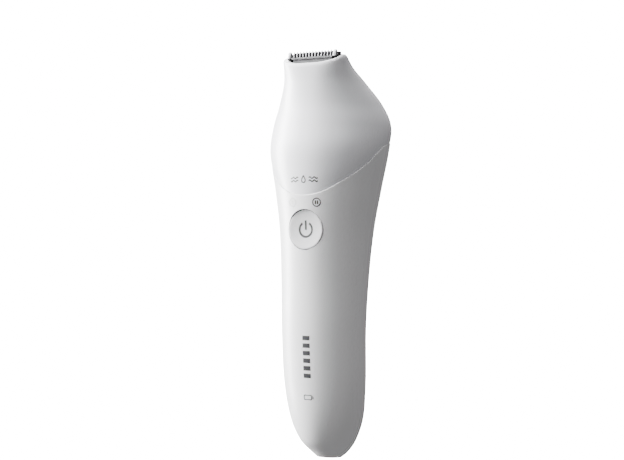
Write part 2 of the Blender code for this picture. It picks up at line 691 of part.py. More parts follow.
# ---------------------------------------------------------------------------------------------
# Motor and gears
# ---------------------------------------------------------------------------------------------
def motor_case():
    can = prism("motor_can", motor_outline(), "z", (MOTOR_LOW, MOTOR_TOP), "steel")
    cut(can, prism("inside", motor_outline(-CAN_WALL), "z", (MOTOR_LOW - 1, MOTOR_TOP - 1)))
    through = (MOTOR_TOP - 5, MOTOR_TOP + 5)
    cut(can, rod("hole", (0, MOTOR_Y), SHAFT_R + RUNNING, "z", through))
    for side in SIDES:
        cut(can, rod("hole", (side * MOTOR_SCREW_X, MOTOR_Y), 0.95, "z", through, sides=12))
    finish(can)
    high = MOTOR_LOW - CLEAR
    cap = prism("motor_end_cap", motor_outline(-0.2), "z", (high - END_CAP, high), "white_acetal")
    through = (high - END_CAP - 5, high + 5)
    cut(cap, rod("hole", (0, MOTOR_Y), SHAFT_R + RUNNING, "z", through))
    for side in SIDES:
        cut(cap, box("hole", span(side * 6, 1.3), span(MOTOR_Y, 0.6), through))
    finish(cap)
    levels = (high - END_CAP - 1.7, high - 0.3)
    for number, side in enumerate(SIDES, 1):
        blade = box(f"motor_terminal_{number}", span(side * 6, 1), span(MOTOR_Y, 0.3), levels, "copper")
        finish(blade)


def armature_radius():
    return MOTOR_FLAT - CAN_WALL - 0.4


def motor_magnets():
    outer, inner = MOTOR_R - CAN_WALL - CLEAR, armature_radius() + 0.4
    reach = math.radians(36)
    for number, side in enumerate(SIDES, 1):
        outline = []
        for radius, way in ((outer, 1), (inner, -1)):
            for i in range(7):
                turn = reach * (i / 3 - 1) * way
                x = side * radius * math.cos(turn)
                outline.append((x, MOTOR_Y + radius * math.sin(turn)))
        levels = (MOTOR_LOW + 3, MOTOR_TOP - 3)
        finish(prism(f"motor_magnet_{number}", outline, "z", levels, "black_plastic"))


def rotor():
    """Everything that turns with the motor's shaft."""
    axis = (0, MOTOR_Y)
    joint = (0, MOTOR_Y, MOTOR_TOP)
    pinion_z = (GEAR_LOW - 0.3, GEAR_LOW + GEAR_WIDTH + 0.3)
    shaft_z = (MOTOR_LOW - CLEAR - END_CAP - 0.8, pinion_z[1] + 0.5)
    finish(rod("motor_shaft", axis, SHAFT_R, "z", shaft_z, "steel"), joint)
    radius = armature_radius()
    poles = []
    for pole in range(3):
        for turn, share in ((-50, 1), (-25, 1), (0, 1), (25, 1), (50, 1), (57, 0.5), (63, 0.5)):
            angle = math.radians(120 * pole + turn)
            x = radius * share * math.cos(angle)
            poles.append((x, MOTOR_Y + radius * share * math.sin(angle)))
    armature = prism("motor_armature", poles, "z", (MOTOR_LOW + 4, MOTOR_TOP - 4.5), "copper")
    cut(armature, rod("bore", axis, SHAFT_R + 0.05, "z", (MOTOR_LOW, MOTOR_TOP)))
    finish(armature, joint)
    finish(gear("motor_pinion", axis, PINION_TEETH, -90, pinion_z, SHAFT_R + 0.05, "brass"), joint)


def gear(name, centre, teeth, first_tooth, levels, bore, look):
    """A spur gear with involute flanks. first_tooth is the direction of one tooth, in degrees."""
    pressure = math.radians(20)
    pitch_r = GEAR_MODULE * teeth / 2
    base_r = pitch_r * math.cos(pressure)
    root_r = pitch_r - 1.25 * GEAR_MODULE
    tip_r = pitch_r + 0.8 * GEAR_MODULE
    backlash = 0.1  # taken off each tooth's thickness

    def half_angle(radius):
        here = math.acos(base_r / radius) if radius > base_r else 0.0
        spread = (math.tan(pressure) - pressure) - (math.tan(here) - here)
        return math.pi / (2 * teeth) - backlash / (2 * pitch_r) + spread

    radii = [root_r, max(base_r, root_r + 0.05), pitch_r, tip_r]
    flank = [(radius, half_angle(radius)) for radius in radii]
    outline = []
    for tooth in range(teeth):
        middle = math.radians(first_tooth) + 2 * math.pi * tooth / teeth
        turns = [(radius, middle - half) for radius, half in flank]
        turns += [(radius, middle + half) for radius, half in reversed(flank)]
        outline += [(centre[0] + r * math.cos(a), centre[1] + r * math.sin(a)) for r, a in turns]
    made = prism(name, outline, "z", levels, look)
    cut(made, rod("bore", centre, bore, "z", (levels[0] - 2, levels[1] + 2), sides=16))
    return made


def crank():
    """Driven gear, and the spindle that carries the off-centre crank pin."""
    axis = (0, SPINDLE_Y)
    joint = (0, SPINDLE_Y, GEAR_LOW)
    levels = (GEAR_LOW, GEAR_LOW + GEAR_WIDTH)
    first = 90 + 180 / GEAR_TEETH
    finish(gear("drive_gear", axis, GEAR_TEETH, first, levels, SPINDLE_R + 0.05, "white_acetal"), joint)
    disc = (NECK_TOP + 0.3, NECK_TOP + 1.2)
    spindle = rod("drive_spindle", axis, SPINDLE_R, "z", (PLATE_LOW, disc[0] + 0.2), "steel", 16)
    join(spindle, rod("disc", axis, CRANK_R + CRANK_THROW + 0.5, "z", disc, sides=16))
    pin_z = (disc[1] - 0.3, disc[1] + CRANK_LENGTH)
    join(spindle, rod("pin", (0, SPINDLE_Y + CRANK_THROW), CRANK_R, "z", pin_z, sides=16))
    finish(spindle, joint)


def neck_oval(grow=0.0, deeper=None):
    """The neck's outline, with the same growth all round unless deeper gives the front's."""
    half = section(NECK_LOW)[0] - NECK_ROOM + grow
    return oval((0, NECK_Y), half, NECK_DEPTH + (grow if deeper is None else deeper))


def flange_oval():
    return neck_oval(FLANGE_SIDE, FLANGE_DEPTH)


def neck_screw_x():
    return section(NECK_LOW)[0] - NECK_ROOM + FLANGE_SIDE / 2 + 0.1


def gear_plate():
    """Steel plate that carries the motor and the spindle's lower bearing."""
    plate = prism("gear_plate", flange_oval(), "z", (PLATE_LOW, PLATE_TOP), "steel")
    through = (PLATE_LOW - 5, PLATE_TOP + 5)
    cut(plate, rod("hole", (0, MOTOR_Y), 3.6, "z", through))
    cut(plate, rod("hole", (0, SPINDLE_Y), SPINDLE_R + BUSH_WALL + 0.1, "z", through))
    for side in SIDES:
        cut(plate, rod("hole", (side * MOTOR_SCREW_X, MOTOR_Y), 0.95, "z", through, sides=12))
        cut(plate, rod("hole", (side * neck_screw_x(), NECK_Y), 0.95, "z", through, sides=12))
    finish(plate)
    for number, side in enumerate(SIDES, 1):
        centre = (side * MOTOR_SCREW_X, MOTOR_Y)
        screw(f"motor_screw_{number}", centre, "z", MOTOR_TOP - 2.5, PLATE_TOP + 0.15, 1.5, 0.75, 0.7)


def bushes():
    """Plain bearings of the spindle, each with a rim."""
    axis = (0, SPINDLE_Y)
    sleeve, rim = SPINDLE_R + BUSH_WALL, SPINDLE_R + BUSH_WALL + 0.9
    lower = rod("lower_bush", axis, sleeve, "z", (PLATE_LOW + 0.1, PLATE_TOP + 0.8), "brass")
    join(lower, rod("rim", axis, rim, "z", (PLATE_TOP + 0.2, PLATE_TOP + 0.85)))
    upper_z = (NECK_BOSS_LOW - 0.9, NECK_TOP - 3)
    upper = rod("upper_bush", axis, sleeve, "z", upper_z, "brass")
    join(upper, rod("rim", axis, rim, "z", (NECK_BOSS_LOW - 0.95, NECK_BOSS_LOW - 0.2)))
    for bush in (lower, upper):
        cut(bush, rod("bore", axis, SPINDLE_R + RUNNING, "z", (PLATE_LOW - 5, NECK_TOP)))
        finish(bush)


def neck_housing():
    """Cup over the gears, with a flange at its foot and the spindle's boss in its roof."""
    axis = (0, SPINDLE_Y)
    neck = prism("neck_housing", neck_oval(), "z", (NECK_LOW, NECK_TOP), "grey_plastic")
    join(neck, prism("flange", flange_oval(), "z", (NECK_LOW, NECK_LOW + FLANGE_THICK)))
    cut(neck, prism("inside", neck_oval(-NECK_WALL), "z", (NECK_LOW - 2, NECK_TOP - NECK_ROOF)))
    boss = rod("boss", axis, NECK_BOSS_R, "z", (NECK_BOSS_LOW, NECK_TOP - NECK_ROOF / 2))
    join(neck, boss)
    bore = SPINDLE_R + BUSH_WALL + 0.1
    cut(neck, rod("bore", axis, bore, "z", (NECK_BOSS_LOW - 3, NECK_TOP + 3)))
    groove = prism("groove", neck_oval(3), "z", (GASKET_Z, GASKET_Z + GASKET_WIDE + 2 * CLEAR))
    cut(groove, prism("core", neck_oval(-0.8), "z", (GASKET_Z - 1, GASKET_Z + GASKET_WIDE + 3)))
    cut(neck, groove)
    for side in SIDES:
        centre = (side * neck_screw_x(), NECK_Y)
        levels = (NECK_LOW - 3, NECK_LOW + FLANGE_THICK + 2)
        cut(neck, rod("hole", centre, 0.95, "z", levels, sides=12))
    finish(neck)


def neck_parts():
    """Seals and screws of the neck."""
    levels = (GASKET_Z + CLEAR, GASKET_Z + CLEAR + GASKET_WIDE)
    ring = prism("neck_gasket", neck_oval(0.2), "z", levels, "rubber")
    cut(ring, prism("core", neck_oval(-0.5), "z", (GASKET_Z - 1, GASKET_Z + GASKET_WIDE + 3)))
    finish(ring)
    axis = (0, SPINDLE_Y)
    seal = rod("spindle_seal", axis, SPINDLE_R + BUSH_WALL, "z", (NECK_TOP - 2.7, NECK_TOP), "rubber")
    cut(seal, rod("bore", axis, SPINDLE_R + RUNNING, "z", (NECK_TOP - 5, NECK_TOP + 5)))
    finish(seal)
    seat = NECK_LOW + FLANGE_THICK + 0.15
    for number, side in enumerate(SIDES, 1):
        centre = (side * neck_screw_x(), NECK_Y)
        screw(f"neck_screw_{number}", centre, "z", PLATE_LOW - 2, seat, 1.0, 0.7, 0.8)


# ---------------------------------------------------------------------------------------------
# Trimmer head
# ---------------------------------------------------------------------------------------------
def head_housing():
    shell = body_form(HEAD_HEIGHTS, name="head_housing", look="head_white")
    hollow = [HEAD_HEIGHTS[0] - 3, *HEAD_HEIGHTS[1:-1], HEAD_HEIGHTS[-1] + 2]
    cut(shell, body_form(hollow, WALL))
    keep(shell, above_seam(CLEAR / 2))
    cut(shell, above_mouth())
    finish(shell)


def lever_slot():
    """Half width of the fork's slot: the pin, the throw both ways, and a running gap."""
    return CRANK_R + 2 * CRANK_THROW + 0.15


def ear_ranges():
    gap = 0.6
    front = SPINDLE_Y - LEVER_HALF_DEPTH - gap
    back = SPINDLE_Y + LEVER_HALF_DEPTH + gap
    return (front - EAR_THICK, front), (back, back + EAR_THICK)


def head_frame():
    """Deck across the head, with a collar over the neck, the lever's ears and the catch."""
    inset = WALL + 0.5
    rings = [body_ring(DECK_TOP, inset, level) for level in (DECK_LOW, DECK_TOP)]
    frame = loft("head_frame", rings, "grey_plastic")
    collar = neck_oval(COLLAR_GAP + COLLAR_WALL)
    join(frame, prism("collar", collar, "z", (COLLAR_LOW, DECK_LOW + DECK_THICK / 2)))
    cut(frame, prism("inside", neck_oval(COLLAR_GAP), "z", (COLLAR_LOW - 2, DECK_LOW - 1.5)))
    half_x = lever_slot() + FORK_ARM + 2.6
    window = rounded(span(0, half_x), span(SPINDLE_Y, LEVER_HALF_DEPTH + 1.4), 2.0)
    cut(frame, prism("window", window, "z", (DECK_LOW - 5, DECK_TOP + 5)))
    for levels in ear_ranges():
        foot = rectangle(span(0, half_x + 2), (DECK_TOP - 1, DECK_TOP + 3))
        join(frame, prism("foot", foot, "y", levels))
        half, top = HUB_R + 1.4, PIVOT_Z + 3.2
        ear = [(half, DECK_TOP + 2), (half, PIVOT_Z + 1.5), (half - 1.8, top)]
        ear += [(-x, z) for x, z in reversed(ear)]
        join(frame, prism("ear", ear, "y", levels))
    pin = PIVOT_R + 0.1
    cut(frame, rod("pin", (0, PIVOT_Z), pin, "y", (ear_ranges()[0][0] - 3, ear_ranges()[1][1] + 3)))
    catch = TONGUE_Y + TONGUE_THICK + NOSE_OUT + CLEAR
    plate_z = (TONGUE_TOP - 4, DECK_LOW + 0.5)
    join(frame, box("catch", span(0, TONGUE_HALF + 1.2), (catch, catch + 1.6), plate_z))
    opening_z = (TONGUE_TOP - 2.2, TONGUE_TOP)
    cut(frame, box("opening", span(0, TONGUE_HALF + 0.3), (catch - 1, catch + 3), opening_z))
    finish(frame)


def drive_lever():
    """Rocking lever: a fork over the crank pin, a hub on its pin, and a nub in the cutter."""
    front, back = SPINDLE_Y - LEVER_HALF_DEPTH, SPINDLE_Y + LEVER_HALF_DEPTH
    slot = lever_slot()
    lever = rod("drive_lever", (0, PIVOT_Z), HUB_R, "y", (front, back), "white_acetal")
    join(lever, box("fork", span(0, slot + FORK_ARM), (front, back), (FORK_LOW, PIVOT_Z - 1)))
    cut(lever, box("slot", span(0, slot), (front - 1, back + 1), (FORK_LOW - 1, PIVOT_Z - 5)))
    nub = CUTTER_Y + 0.1
    arm_back = front + 2.4
    arm = [(front, PIVOT_Z), (back - 3, PIVOT_Z), (arm_back, PIVOT_Z + 7), (arm_back, NUB_HIGH)]
    arm += [(nub, NUB_HIGH), (nub, NUB_LOW), (front, NUB_LOW)]
    join(lever, prism("arm", arm, "x", span(0, NUB_HALF)))
    cut(lever, rod("bore", (0, PIVOT_Z), PIVOT_R + RUNNING, "y", (front - 2, back + 2)))
    finish(lever, (0, SPINDLE_Y, PIVOT_Z))
    first, last = ear_ranges()
    finish(rod("lever_pin", (0, PIVOT_Z), PIVOT_R, "y", (first[0] + 0.1, last[1] - 0.1), "steel", 16))


def tooth_middles():
    return [(i - (TOOTH_COUNT - 1) / 2) * TOOTH_PITCH for i in range(TOOTH_COUNT)]


def tooth(x, top, root_half, tip_half):
    return [(x - root_half, COMB_ROOT), (x - tip_half, top), (x + tip_half, top), (x + root_half, COMB_ROOT)]


def guard_comb():
    """Fixed comb: pointed teeth, and a broad rounded tooth at each end."""
    inner, outer = GUARD_HALF, COMB_HALF
    foot = COMB_ROOT - 0.4
    end = [(inner, COMB_ROOT), (inner + 0.1, COMB_TOP - 0.9), (inner + 0.7, COMB_TOP - 0.1)]
    end += [(outer - 0.9, COMB_TOP - 0.1), (outer - 0.1, COMB_TOP - 1), (outer, COMB_ROOT - 0.1)]
    row = [(-x, z) for x, z in reversed(end)]
    for x in tooth_middles():
        row += tooth(x, COMB_TOP, TOOTH_HALF, 0.17)
    row += end
    lower = [(GUARD_HALF, foot), (GUARD_HALF, GUARD_LOW + 6), (GUARD_HALF - 3, GUARD_LOW)]
    plate = row + lower + [(-x, z) for x, z in reversed(lower)]
    guard = prism("guard_comb", plate, "y", (GUARD_Y, GUARD_Y + BLADE_THICK), "steel")
    thick = row + [(outer, COMB_ROOT - 0.2), (-outer, COMB_ROOT - 0.2)]
    join(guard, prism("ribs", thick, "y", (GUARD_Y - TOOTH_RIB, GUARD_Y + BLADE_THICK / 2)))
    for side in SIDES:
        centre = (side * COMB_SCREW_X, COMB_SCREW_Z)
        cut(guard, rod("hole", centre, 0.95, "y", (GUARD_Y - 5, GUARD_Y + 5), sides=12))
    finish(guard)


def cutter_blade():
    """Moving blade behind the comb, with the slot that the lever's nub works in."""
    middles = [x + TOOTH_PITCH / 2 for x in tooth_middles()[:-1]]
    outline = []
    for x in middles:
        outline += tooth(x, CUTTER_TOP, 0.45, 0.2)
    foot = COMB_ROOT - 0.4
    outline += [(CUTTER_HALF, foot), (CUTTER_HALF, CUTTER_LOW)]
    outline += [(-CUTTER_HALF, CUTTER_LOW), (-CUTTER_HALF, foot)]
    blade = prism("cutter_blade", outline, "y", (CUTTER_Y, CUTTER_Y + BLADE_THICK), "steel")
    slot_z = (NUB_LOW - CLEAR, NUB_HIGH + CLEAR)
    slot_y = (CUTTER_Y - 5, CUTTER_Y + 5)
    cut(blade, box("slot", span(0, NUB_HALF + 0.2), slot_y, slot_z))
    finish(blade, (0, CUTTER_Y, NUB_LOW))


def blade_holder():
    """Black carrier of the two blades: floor, back wall and two end blocks."""
    x = span(0, COMB_HALF + 0.4)
    depth = (HOLDER_FRONT_Y, HOLDER_BACK_Y)
    holder = box("blade_holder", x, depth, (HOLDER_LOW, HOLDER_TOP), "black_plastic")
    pocket_x = span(0, GUARD_HALF + CLEAR)
    pocket_y = (HOLDER_FRONT_Y - 5, HOLDER_WALL_Y)
    cut(holder, box("pocket", pocket_x, pocket_y, (HOLDER_LOW + HOLDER_FLOOR, HOLDER_TOP + 9)))
    half = COMB_HALF - 0.7
    wall = [(half, HOLDER_TOP - 1), (half, HOLDER_TOP + 0.6), (half - 0.8, HOLDER_TOP + 1.3)]
    wall += [(-a, b) for a, b in reversed(wall)]
    join(holder, prism("wall", wall, "y", (HOLDER_WALL_Y, HOLDER_BACK_Y)))
    window_z = (HOLDER_LOW - 1, NUB_HIGH + 1.2)
    cut(holder, box("window", span(0, NUB_HALF + 2.4), (HOLDER_FRONT_Y - 2, HOLDER_BACK_Y + 2), window_z))
    for side in SIDES:
        centre = side * COMB_SCREW_X
        spacer_y = (GUARD_Y + BLADE_THICK + 0.2, HOLDER_WALL_Y + 0.5)
        spacer_z = (HOLDER_LOW + HOLDER_FLOOR - 0.5, CUTTER_LOW - 0.2)
        join(holder, box("spacer", span(centre, 1.8), spacer_y, spacer_z))
        cut(holder, rod("hole", (centre, COMB_SCREW_Z), 0.95, "y", (-20, HOLDER_WALL_Y + 2), sides=12))
    rings = [body_ring(HOLDER_LOW + up, WALL + 0.5) for up in (-1, 2, 5, 9, 12, 15, 18)]
    keep(holder, loft("form", rings))
    finish(holder)
    for number, side in enumerate(SIDES, 1):
        centre = (side * COMB_SCREW_X, COMB_SCREW_Z)
        screw(f"comb_screw_{number}", centre, "y", HOLDER_WALL_Y + 1.6, GUARD_Y - 0.15, 1.5, 0.75, 0.7)


def blade_spring():
    """Leaf spring that presses the cutter against the comb."""
    front = CUTTER_Y + BLADE_THICK + 0.15
    bend = 0.25
    face = [(8.2, front), (6.6, front), (4.4, front + bend)]
    face += [(-x, y) for x, y in reversed(face)]
    outline = face + [(x, y + LEAF_THICK) for x, y in reversed(face)]
    finish(prism("blade_spring", outline, "z", (LEAF_LOW, LEAF_HIGH), "steel"))


def build():
    for old in list(bpy.data.objects):
        bpy.data.objects.remove(old)
    front_shell()
    rear_shell()
    power_button()
    button_seal()
    lights()
    release_button()
    release_spring()
    charging_socket()
    control_board()
    power_switch()
    board_parts()
    chassis()
    battery()
    motor_case()
    motor_magnets()
    rotor()
    crank()
    gear_plate()
    bushes()
    neck_housing()
    neck_parts()
    head_housing()
    head_frame()
    drive_lever()
    guard_comb()
    cutter_blade()
    blade_holder()
    blade_spring()


ORIGIN_Y = middle_of_depth()
build()
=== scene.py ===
"""Looks of the body groomer: fine shells, controls, blades, materials, light and camera.

Lengths are in millimetres in the part's own frame, and to_world turns them into metres.
"""

import json
import math

import bmesh
import bpy
import numpy as np
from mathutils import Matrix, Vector


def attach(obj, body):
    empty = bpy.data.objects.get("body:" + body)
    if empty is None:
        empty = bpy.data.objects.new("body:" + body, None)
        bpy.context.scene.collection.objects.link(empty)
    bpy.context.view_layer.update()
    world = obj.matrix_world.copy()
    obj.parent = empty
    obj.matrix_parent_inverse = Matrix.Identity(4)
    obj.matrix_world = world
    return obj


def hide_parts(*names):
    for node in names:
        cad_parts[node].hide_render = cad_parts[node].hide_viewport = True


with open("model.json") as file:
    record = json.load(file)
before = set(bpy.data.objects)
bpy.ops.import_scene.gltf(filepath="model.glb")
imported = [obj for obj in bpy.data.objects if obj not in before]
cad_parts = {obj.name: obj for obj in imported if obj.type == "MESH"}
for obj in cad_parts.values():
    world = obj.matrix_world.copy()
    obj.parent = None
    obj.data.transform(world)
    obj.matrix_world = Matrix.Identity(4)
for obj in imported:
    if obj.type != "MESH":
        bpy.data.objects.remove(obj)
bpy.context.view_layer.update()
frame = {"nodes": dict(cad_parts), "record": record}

# ---------------------------------------------------------------------------------------------
# Sizes, as the CAD has them
# ---------------------------------------------------------------------------------------------
ORIGIN_Y = 3.2785
WALL = 1.8
CLEAR = 0.3
PARTING_Y = -2.4

# (height, half width, front, back, squareness)
SECTIONS = (
    (0.0, 5.7, -2.5, 6.5, 2.0),
    (2.5, 8.6, -5.2, 9.4, 2.0),
    (8.0, 12.7, -10.6, 12.4, 2.0),
    (18.0, 16.6, -14.0, 13.6, 2.0),
    (34.0, 18.6, -16.0, 12.4, 2.05),
    (56.0, 18.9, -17.5, 12.3, 2.1),
    (78.0, 19.4, -18.0, 15.0, 2.1),
    (98.0, 20.6, -18.6, 18.6, 2.1),
    (115.0, 23.4, -19.1, 21.4, 2.1),
    (131.0, 26.5, -19.5, 23.6, 2.1),
    (142.0, 26.3, -17.6, 26.2, 2.1),
    (151.0, 22.9, -16.0, 22.6, 2.15),
    (160.0, 18.2, -15.7, 12.4, 2.3),
    (166.0, 15.7, -15.9, 2.4, 2.6),
    (171.0, 14.9, -15.7, -4.7, 3.0),
    (173.5, 14.5, -15.5, -7.7, 3.1),
)
# (depth, height) along the seam between the head and the handle
SEAM = (
    (-24.0, 107.0),
    (-19.0, 112.5),
    (-15.3, 117.3),
    (-9.8, 122.7),
    (-5.4, 126.8),
    (-2.1, 130.0),
    (3.0, 133.2),
    (10.0, 134.6),
    (18.0, 135.0),
    (32.0, 135.2),
)
MOUTH_FRONT_Y, MOUTH_FRONT_Z = -15.7, 168.2
MOUTH_BACK_Y, MOUTH_BACK_Z = -5.1, 172.0
MOUTH_CURVE = 2.2

BUTTON_Z, BUTTON_R = 97.8, 8.25
DISH_Y, DISH_ACROSS, DISH_ALONG = -17.2, 0.3, 1.0
LIGHT_X, LIGHT_Z, LIGHT_R = 5.9, 109.2, 1.95
BATTERY_LIGHT_Z, BATTERY_LIGHT_HALF_X, BATTERY_LIGHT_HALF_Z = 27.0, 2.2, 1.0
BATTERY_LIGHT_CORNER = 0.34
SOCKET_Y, SOCKET_HALF_X, SOCKET_HALF_Y, SOCKET_CORNER = 2.0, 3.2, 2.2, 1.3
SOCKET_WALL = 0.8
RELEASE_HALF, RELEASE_LOW, RELEASE_HIGH = 6.7, 115.8, 124.2
RELEASE_CORNER = 2.3
COMB_TOP, COMB_ROOT, COMB_FOOT = 173.5, 170.9, 159.0
TOOTH_PITCH, TOOTH_COUNT, TOOTH_HALF, TOOTH_RIB = 1.517, 13, 0.45, 0.9
END_TOOTH_WIDE, END_TOOTH_GAP = 2.3, 0.5
BLADE_THICK, GUARD_Y, CUTTER_Y = 0.6, -11.9, -11.0
COMB_HALF = (TOOTH_COUNT - 1) / 2 * TOOTH_PITCH + TOOTH_HALF + END_TOOTH_GAP + END_TOOTH_WIDE
HOLDER_TOP, HOLDER_FRONT_Y = 170.4, -13.3

# ---------------------------------------------------------------------------------------------
# Sizes of the fine detail, and how finely the surfaces are read
# ---------------------------------------------------------------------------------------------
SEAM_GAP, SEAM_STEP, SEAM_BLEND = 0.03, 0.26, 7.0
HANDLE_LIP, HEAD_LIP, MOUTH_LIP = 0.26, 0.05, 1.0
INNER_EDGE, FLOOR_EXTRA = 0.05, 0.5
BUTTON_GAP, WINDOW_GAP, PARTING_GAP = 0.36, 0.06, 0.04
BUTTON_BACK_Y, SPEED_LIGHT_BACK_Y, BATTERY_LIGHT_BACK_Y = -15.6, -13.4, -13.0
BUTTON_EDGE, WINDOW_EDGE = 0.3, 0.08
PRINT_PROUD, PRINT_DEPTH = 0.03, 0.15

COLUMNS = 240
OUTLINE_STEPS = 1440
SECTION_STEPS, SEAM_STEPS = 24, 12
TABLE_STEP = 0.5
HANDLE_ROWS, HANDLE_INNER_ROWS = 130, 40
HEAD_ROWS, HEAD_INNER_ROWS = 90, 60
ROW_CROWDING = 1.4
SEARCH_START, SEARCH_ROUNDS = 130.0, 40
ROUND_SIDES, SMALL_ROUND_SIDES = 96, 48

# Camera and studio
LIT_POINT = (0, 0, 0.09)
AZIMUTH, DISTANCE, EYE_HEIGHT, ASIDE = math.radians(31.6), 645.0, 97.6, 6.45
LENS, SENSOR = 86.5, 36.0
AMBIENT, BACKDROP = 0.29, 24.0
FLOOR_HALF, FLOOR_DROP = 6.0, 0.0002
SOFTBOX_WIDE, SOFTBOX_HIGH = 0.35, 0.9
# (name, degrees round to the camera's right, elevation, watts)
SOFTBOXES = (
    ("side_left", -110, 5, 88),
    ("high_left", -90, 40, 30),
    ("high_front", -60, 40, 4),
    ("overhead", 0, 88, 9),
    ("top_behind", 180, 42, 24),
)


# ---------------------------------------------------------------------------------------------
# Form
# ---------------------------------------------------------------------------------------------
def curve_through(rows, steps):
    """Points of a Catmull-Rom curve through rows of numbers."""
    table = np.array(rows, dtype=float)
    table = np.vstack([2 * table[0] - table[1], table, 2 * table[-1] - table[-2]])
    points = []
    for i in range(1, len(table) - 2):
        a, b, c, d = table[i - 1 : i + 3]
        for step in range(steps):
            t = step / steps
            square = (2 * a - 5 * b + 4 * c - d) * t**2
            cube = (3 * b - a - 3 * c + d) * t**3
            points.append((2 * b + (c - a) * t + square + cube) / 2)
    points.append(table[-2])
    return np.array(points)


SURFACE = curve_through(SECTIONS, SECTION_STEPS)
SEAM_CURVE = curve_through(SEAM, SEAM_STEPS)


def section(z):
    """Half width, front, back and squareness of the body at one height."""
    return [float(np.interp(z, SURFACE[:, 0], SURFACE[:, k])) for k in range(1, 5)]


def ring(z, inset):
    """The body's outline at one height: COLUMNS points at equal steps along it from the front."""
    half, front, back, power = section(z)
    middle, depth = (front + back) / 2, (back - front) / 2 - inset
    turn = np.linspace(0, 2 * math.pi, OUTLINE_STEPS + 1)
    s, c = np.sin(turn), np.cos(turn)
    x = (half - inset) * np.sign(s) * np.abs(s) ** (2 / power)
    y = middle - depth * np.sign(c) * np.abs(c) ** (2 / power)
    along = np.concatenate([[0], np.cumsum(np.hypot(np.diff(x), np.diff(y)))])
    wanted = np.arange(COLUMNS) / COLUMNS * along[-1]
    return np.stack([np.interp(wanted, along, x), np.interp(wanted, along, y)], axis=1)


class Skin:
    """The body's surface, or one parallel to it, as a table that can be read at any height."""

    def __init__(self, inset):
        self.heights = np.arange(0, SECTIONS[-1][0] + TABLE_STEP / 2, TABLE_STEP)
        self.rings = np.array([ring(z, inset) for z in self.heights])

    def at(self, z):
        """Points (COLUMNS, 3) at one height for each column."""
        place = np.clip(z / TABLE_STEP, 0, len(self.heights) - 1.001)
        low = place.astype(int)
        share = (place - low)[:, None]
        column = np.arange(COLUMNS)
        xy = self.rings[low, column] * (1 - share) + self.rings[low + 1, column] * share
        return np.column_stack([xy, z])

    def where(self, height_of_y):
        """The height, for each column, at which the skin meets a curve drawn across the body."""
        z = np.full(COLUMNS, SEARCH_START)
        for _ in range(SEARCH_ROUNDS):
            z = 0.5 * z + 0.5 * height_of_y(self.at(z)[:, 1])
        return z


OUTER, INNER = Skin(0.0), Skin(WALL)


def seam_height(y):
    return np.interp(y, SEAM_CURVE[:, 0], SEAM_CURVE[:, 1])


def mouth_height(y):
    share = np.clip((y - MOUTH_FRONT_Y) / (MOUTH_BACK_Y - MOUTH_FRONT_Y), 0, 1)
    return MOUTH_FRONT_Z + (MOUTH_BACK_Z - MOUTH_FRONT_Z) * (1 - (1 - share) ** MOUTH_CURVE)


def front_y(x, z):
    """Y of the body's front surface."""
    half, front, back, power = section(z)
    middle, depth = (front + back) / 2, (back - front) / 2
    return middle - depth * (1 - abs(x / half) ** power) ** (1 / power)


def dish_y(x, z):
    """Y of the power button's dished face."""
    return DISH_Y - DISH_ACROSS * (x / BUTTON_R) ** 2 - DISH_ALONG * ((z - BUTTON_Z) / BUTTON_R) ** 2


def to_world(point):
    return (point[0] / 1000, (point[1] - ORIGIN_Y) / 1000, point[2] / 1000)


# ---------------------------------------------------------------------------------------------
# Meshes
# ---------------------------------------------------------------------------------------------
def smooth_by_angle(obj, degrees=40):
    obj.data.shade_smooth()
    obj.data.set_sharp_from_angle(angle=math.radians(degrees))


def new_mesh(name, points, faces, smooth=40):
    """An object from points in millimetres, with its faces turned outwards."""
    mesh = bpy.data.meshes.new(name)
    mesh.from_pydata([to_world(p) for p in points], [], faces)
    work = bmesh.new()
    work.from_mesh(mesh)
    bmesh.ops.recalc_face_normals(work, faces=work.faces)
    work.to_mesh(mesh)
    work.free()
    made = bpy.data.objects.new(name, mesh)
    bpy.context.scene.collection.objects.link(made)
    smooth_by_angle(made, smooth)
    return made


def band(count, low, high):
    """Faces between two rings of points that start at the numbers low and high."""
    return [[low + i, low + (i + 1) % count, high + (i + 1) % count, high + i] for i in range(count)]


def rings_mesh(name, rings, smooth=40):
    """A closed solid through rings that have the same number of points."""
    count = len(rings[0])
    points = np.concatenate(rings)
    faces = [list(range(count))]
    for level in range(len(rings) - 1):
        faces += band(count, level * count, (level + 1) * count)
    faces.append([len(points) - count + i for i in range(count)])
    return new_mesh(name, points, faces, smooth)


def prism(name, outline, axis, levels):
    """An outline drawn out between two levels of one axis."""
    place = {"x": (2, 0, 1), "y": (0, 2, 1), "z": (0, 1, 2)}[axis]
    rings = []
    for level in levels:
        rows = np.column_stack([np.array(outline), np.full(len(outline), level)])
        rings.append(rows[:, place])
    return rings_mesh(name, rings)


def boolean(target, tool, operation):
    """Cuts target by tool, or keeps what both hold, and removes tool."""
    modifier = target.modifiers.new("cut", "BOOLEAN")
    modifier.object = tool
    modifier.operation = operation
    modifier.solver = "MANIFOLD"
    bpy.context.view_layer.update()
    graph = bpy.context.evaluated_depsgraph_get()
    mesh = bpy.data.meshes.new_from_object(target.evaluated_get(graph))
    target.modifiers.clear()
    target.data = mesh
    bpy.data.objects.remove(tool)
    smooth_by_angle(target)


def merge(name, pieces):
    """Joins separate closed pieces into one object."""
    work = bmesh.new()
    for piece in pieces:
        work.from_mesh(piece.data)
        bpy.data.objects.remove(piece)
    mesh = bpy.data.meshes.new(name)
    work.to_mesh(mesh)
    work.free()
    made = bpy.data.objects.new(name, mesh)
    bpy.context.scene.collection.objects.link(made)
    smooth_by_angle(made, 45)
    return made


def circle(centre, radius, sides=ROUND_SIDES):
    turns = [2 * math.pi * i / sides for i in range(sides)]
    return [(centre[0] + radius * math.sin(t), centre[1] - radius * math.cos(t)) for t in turns]


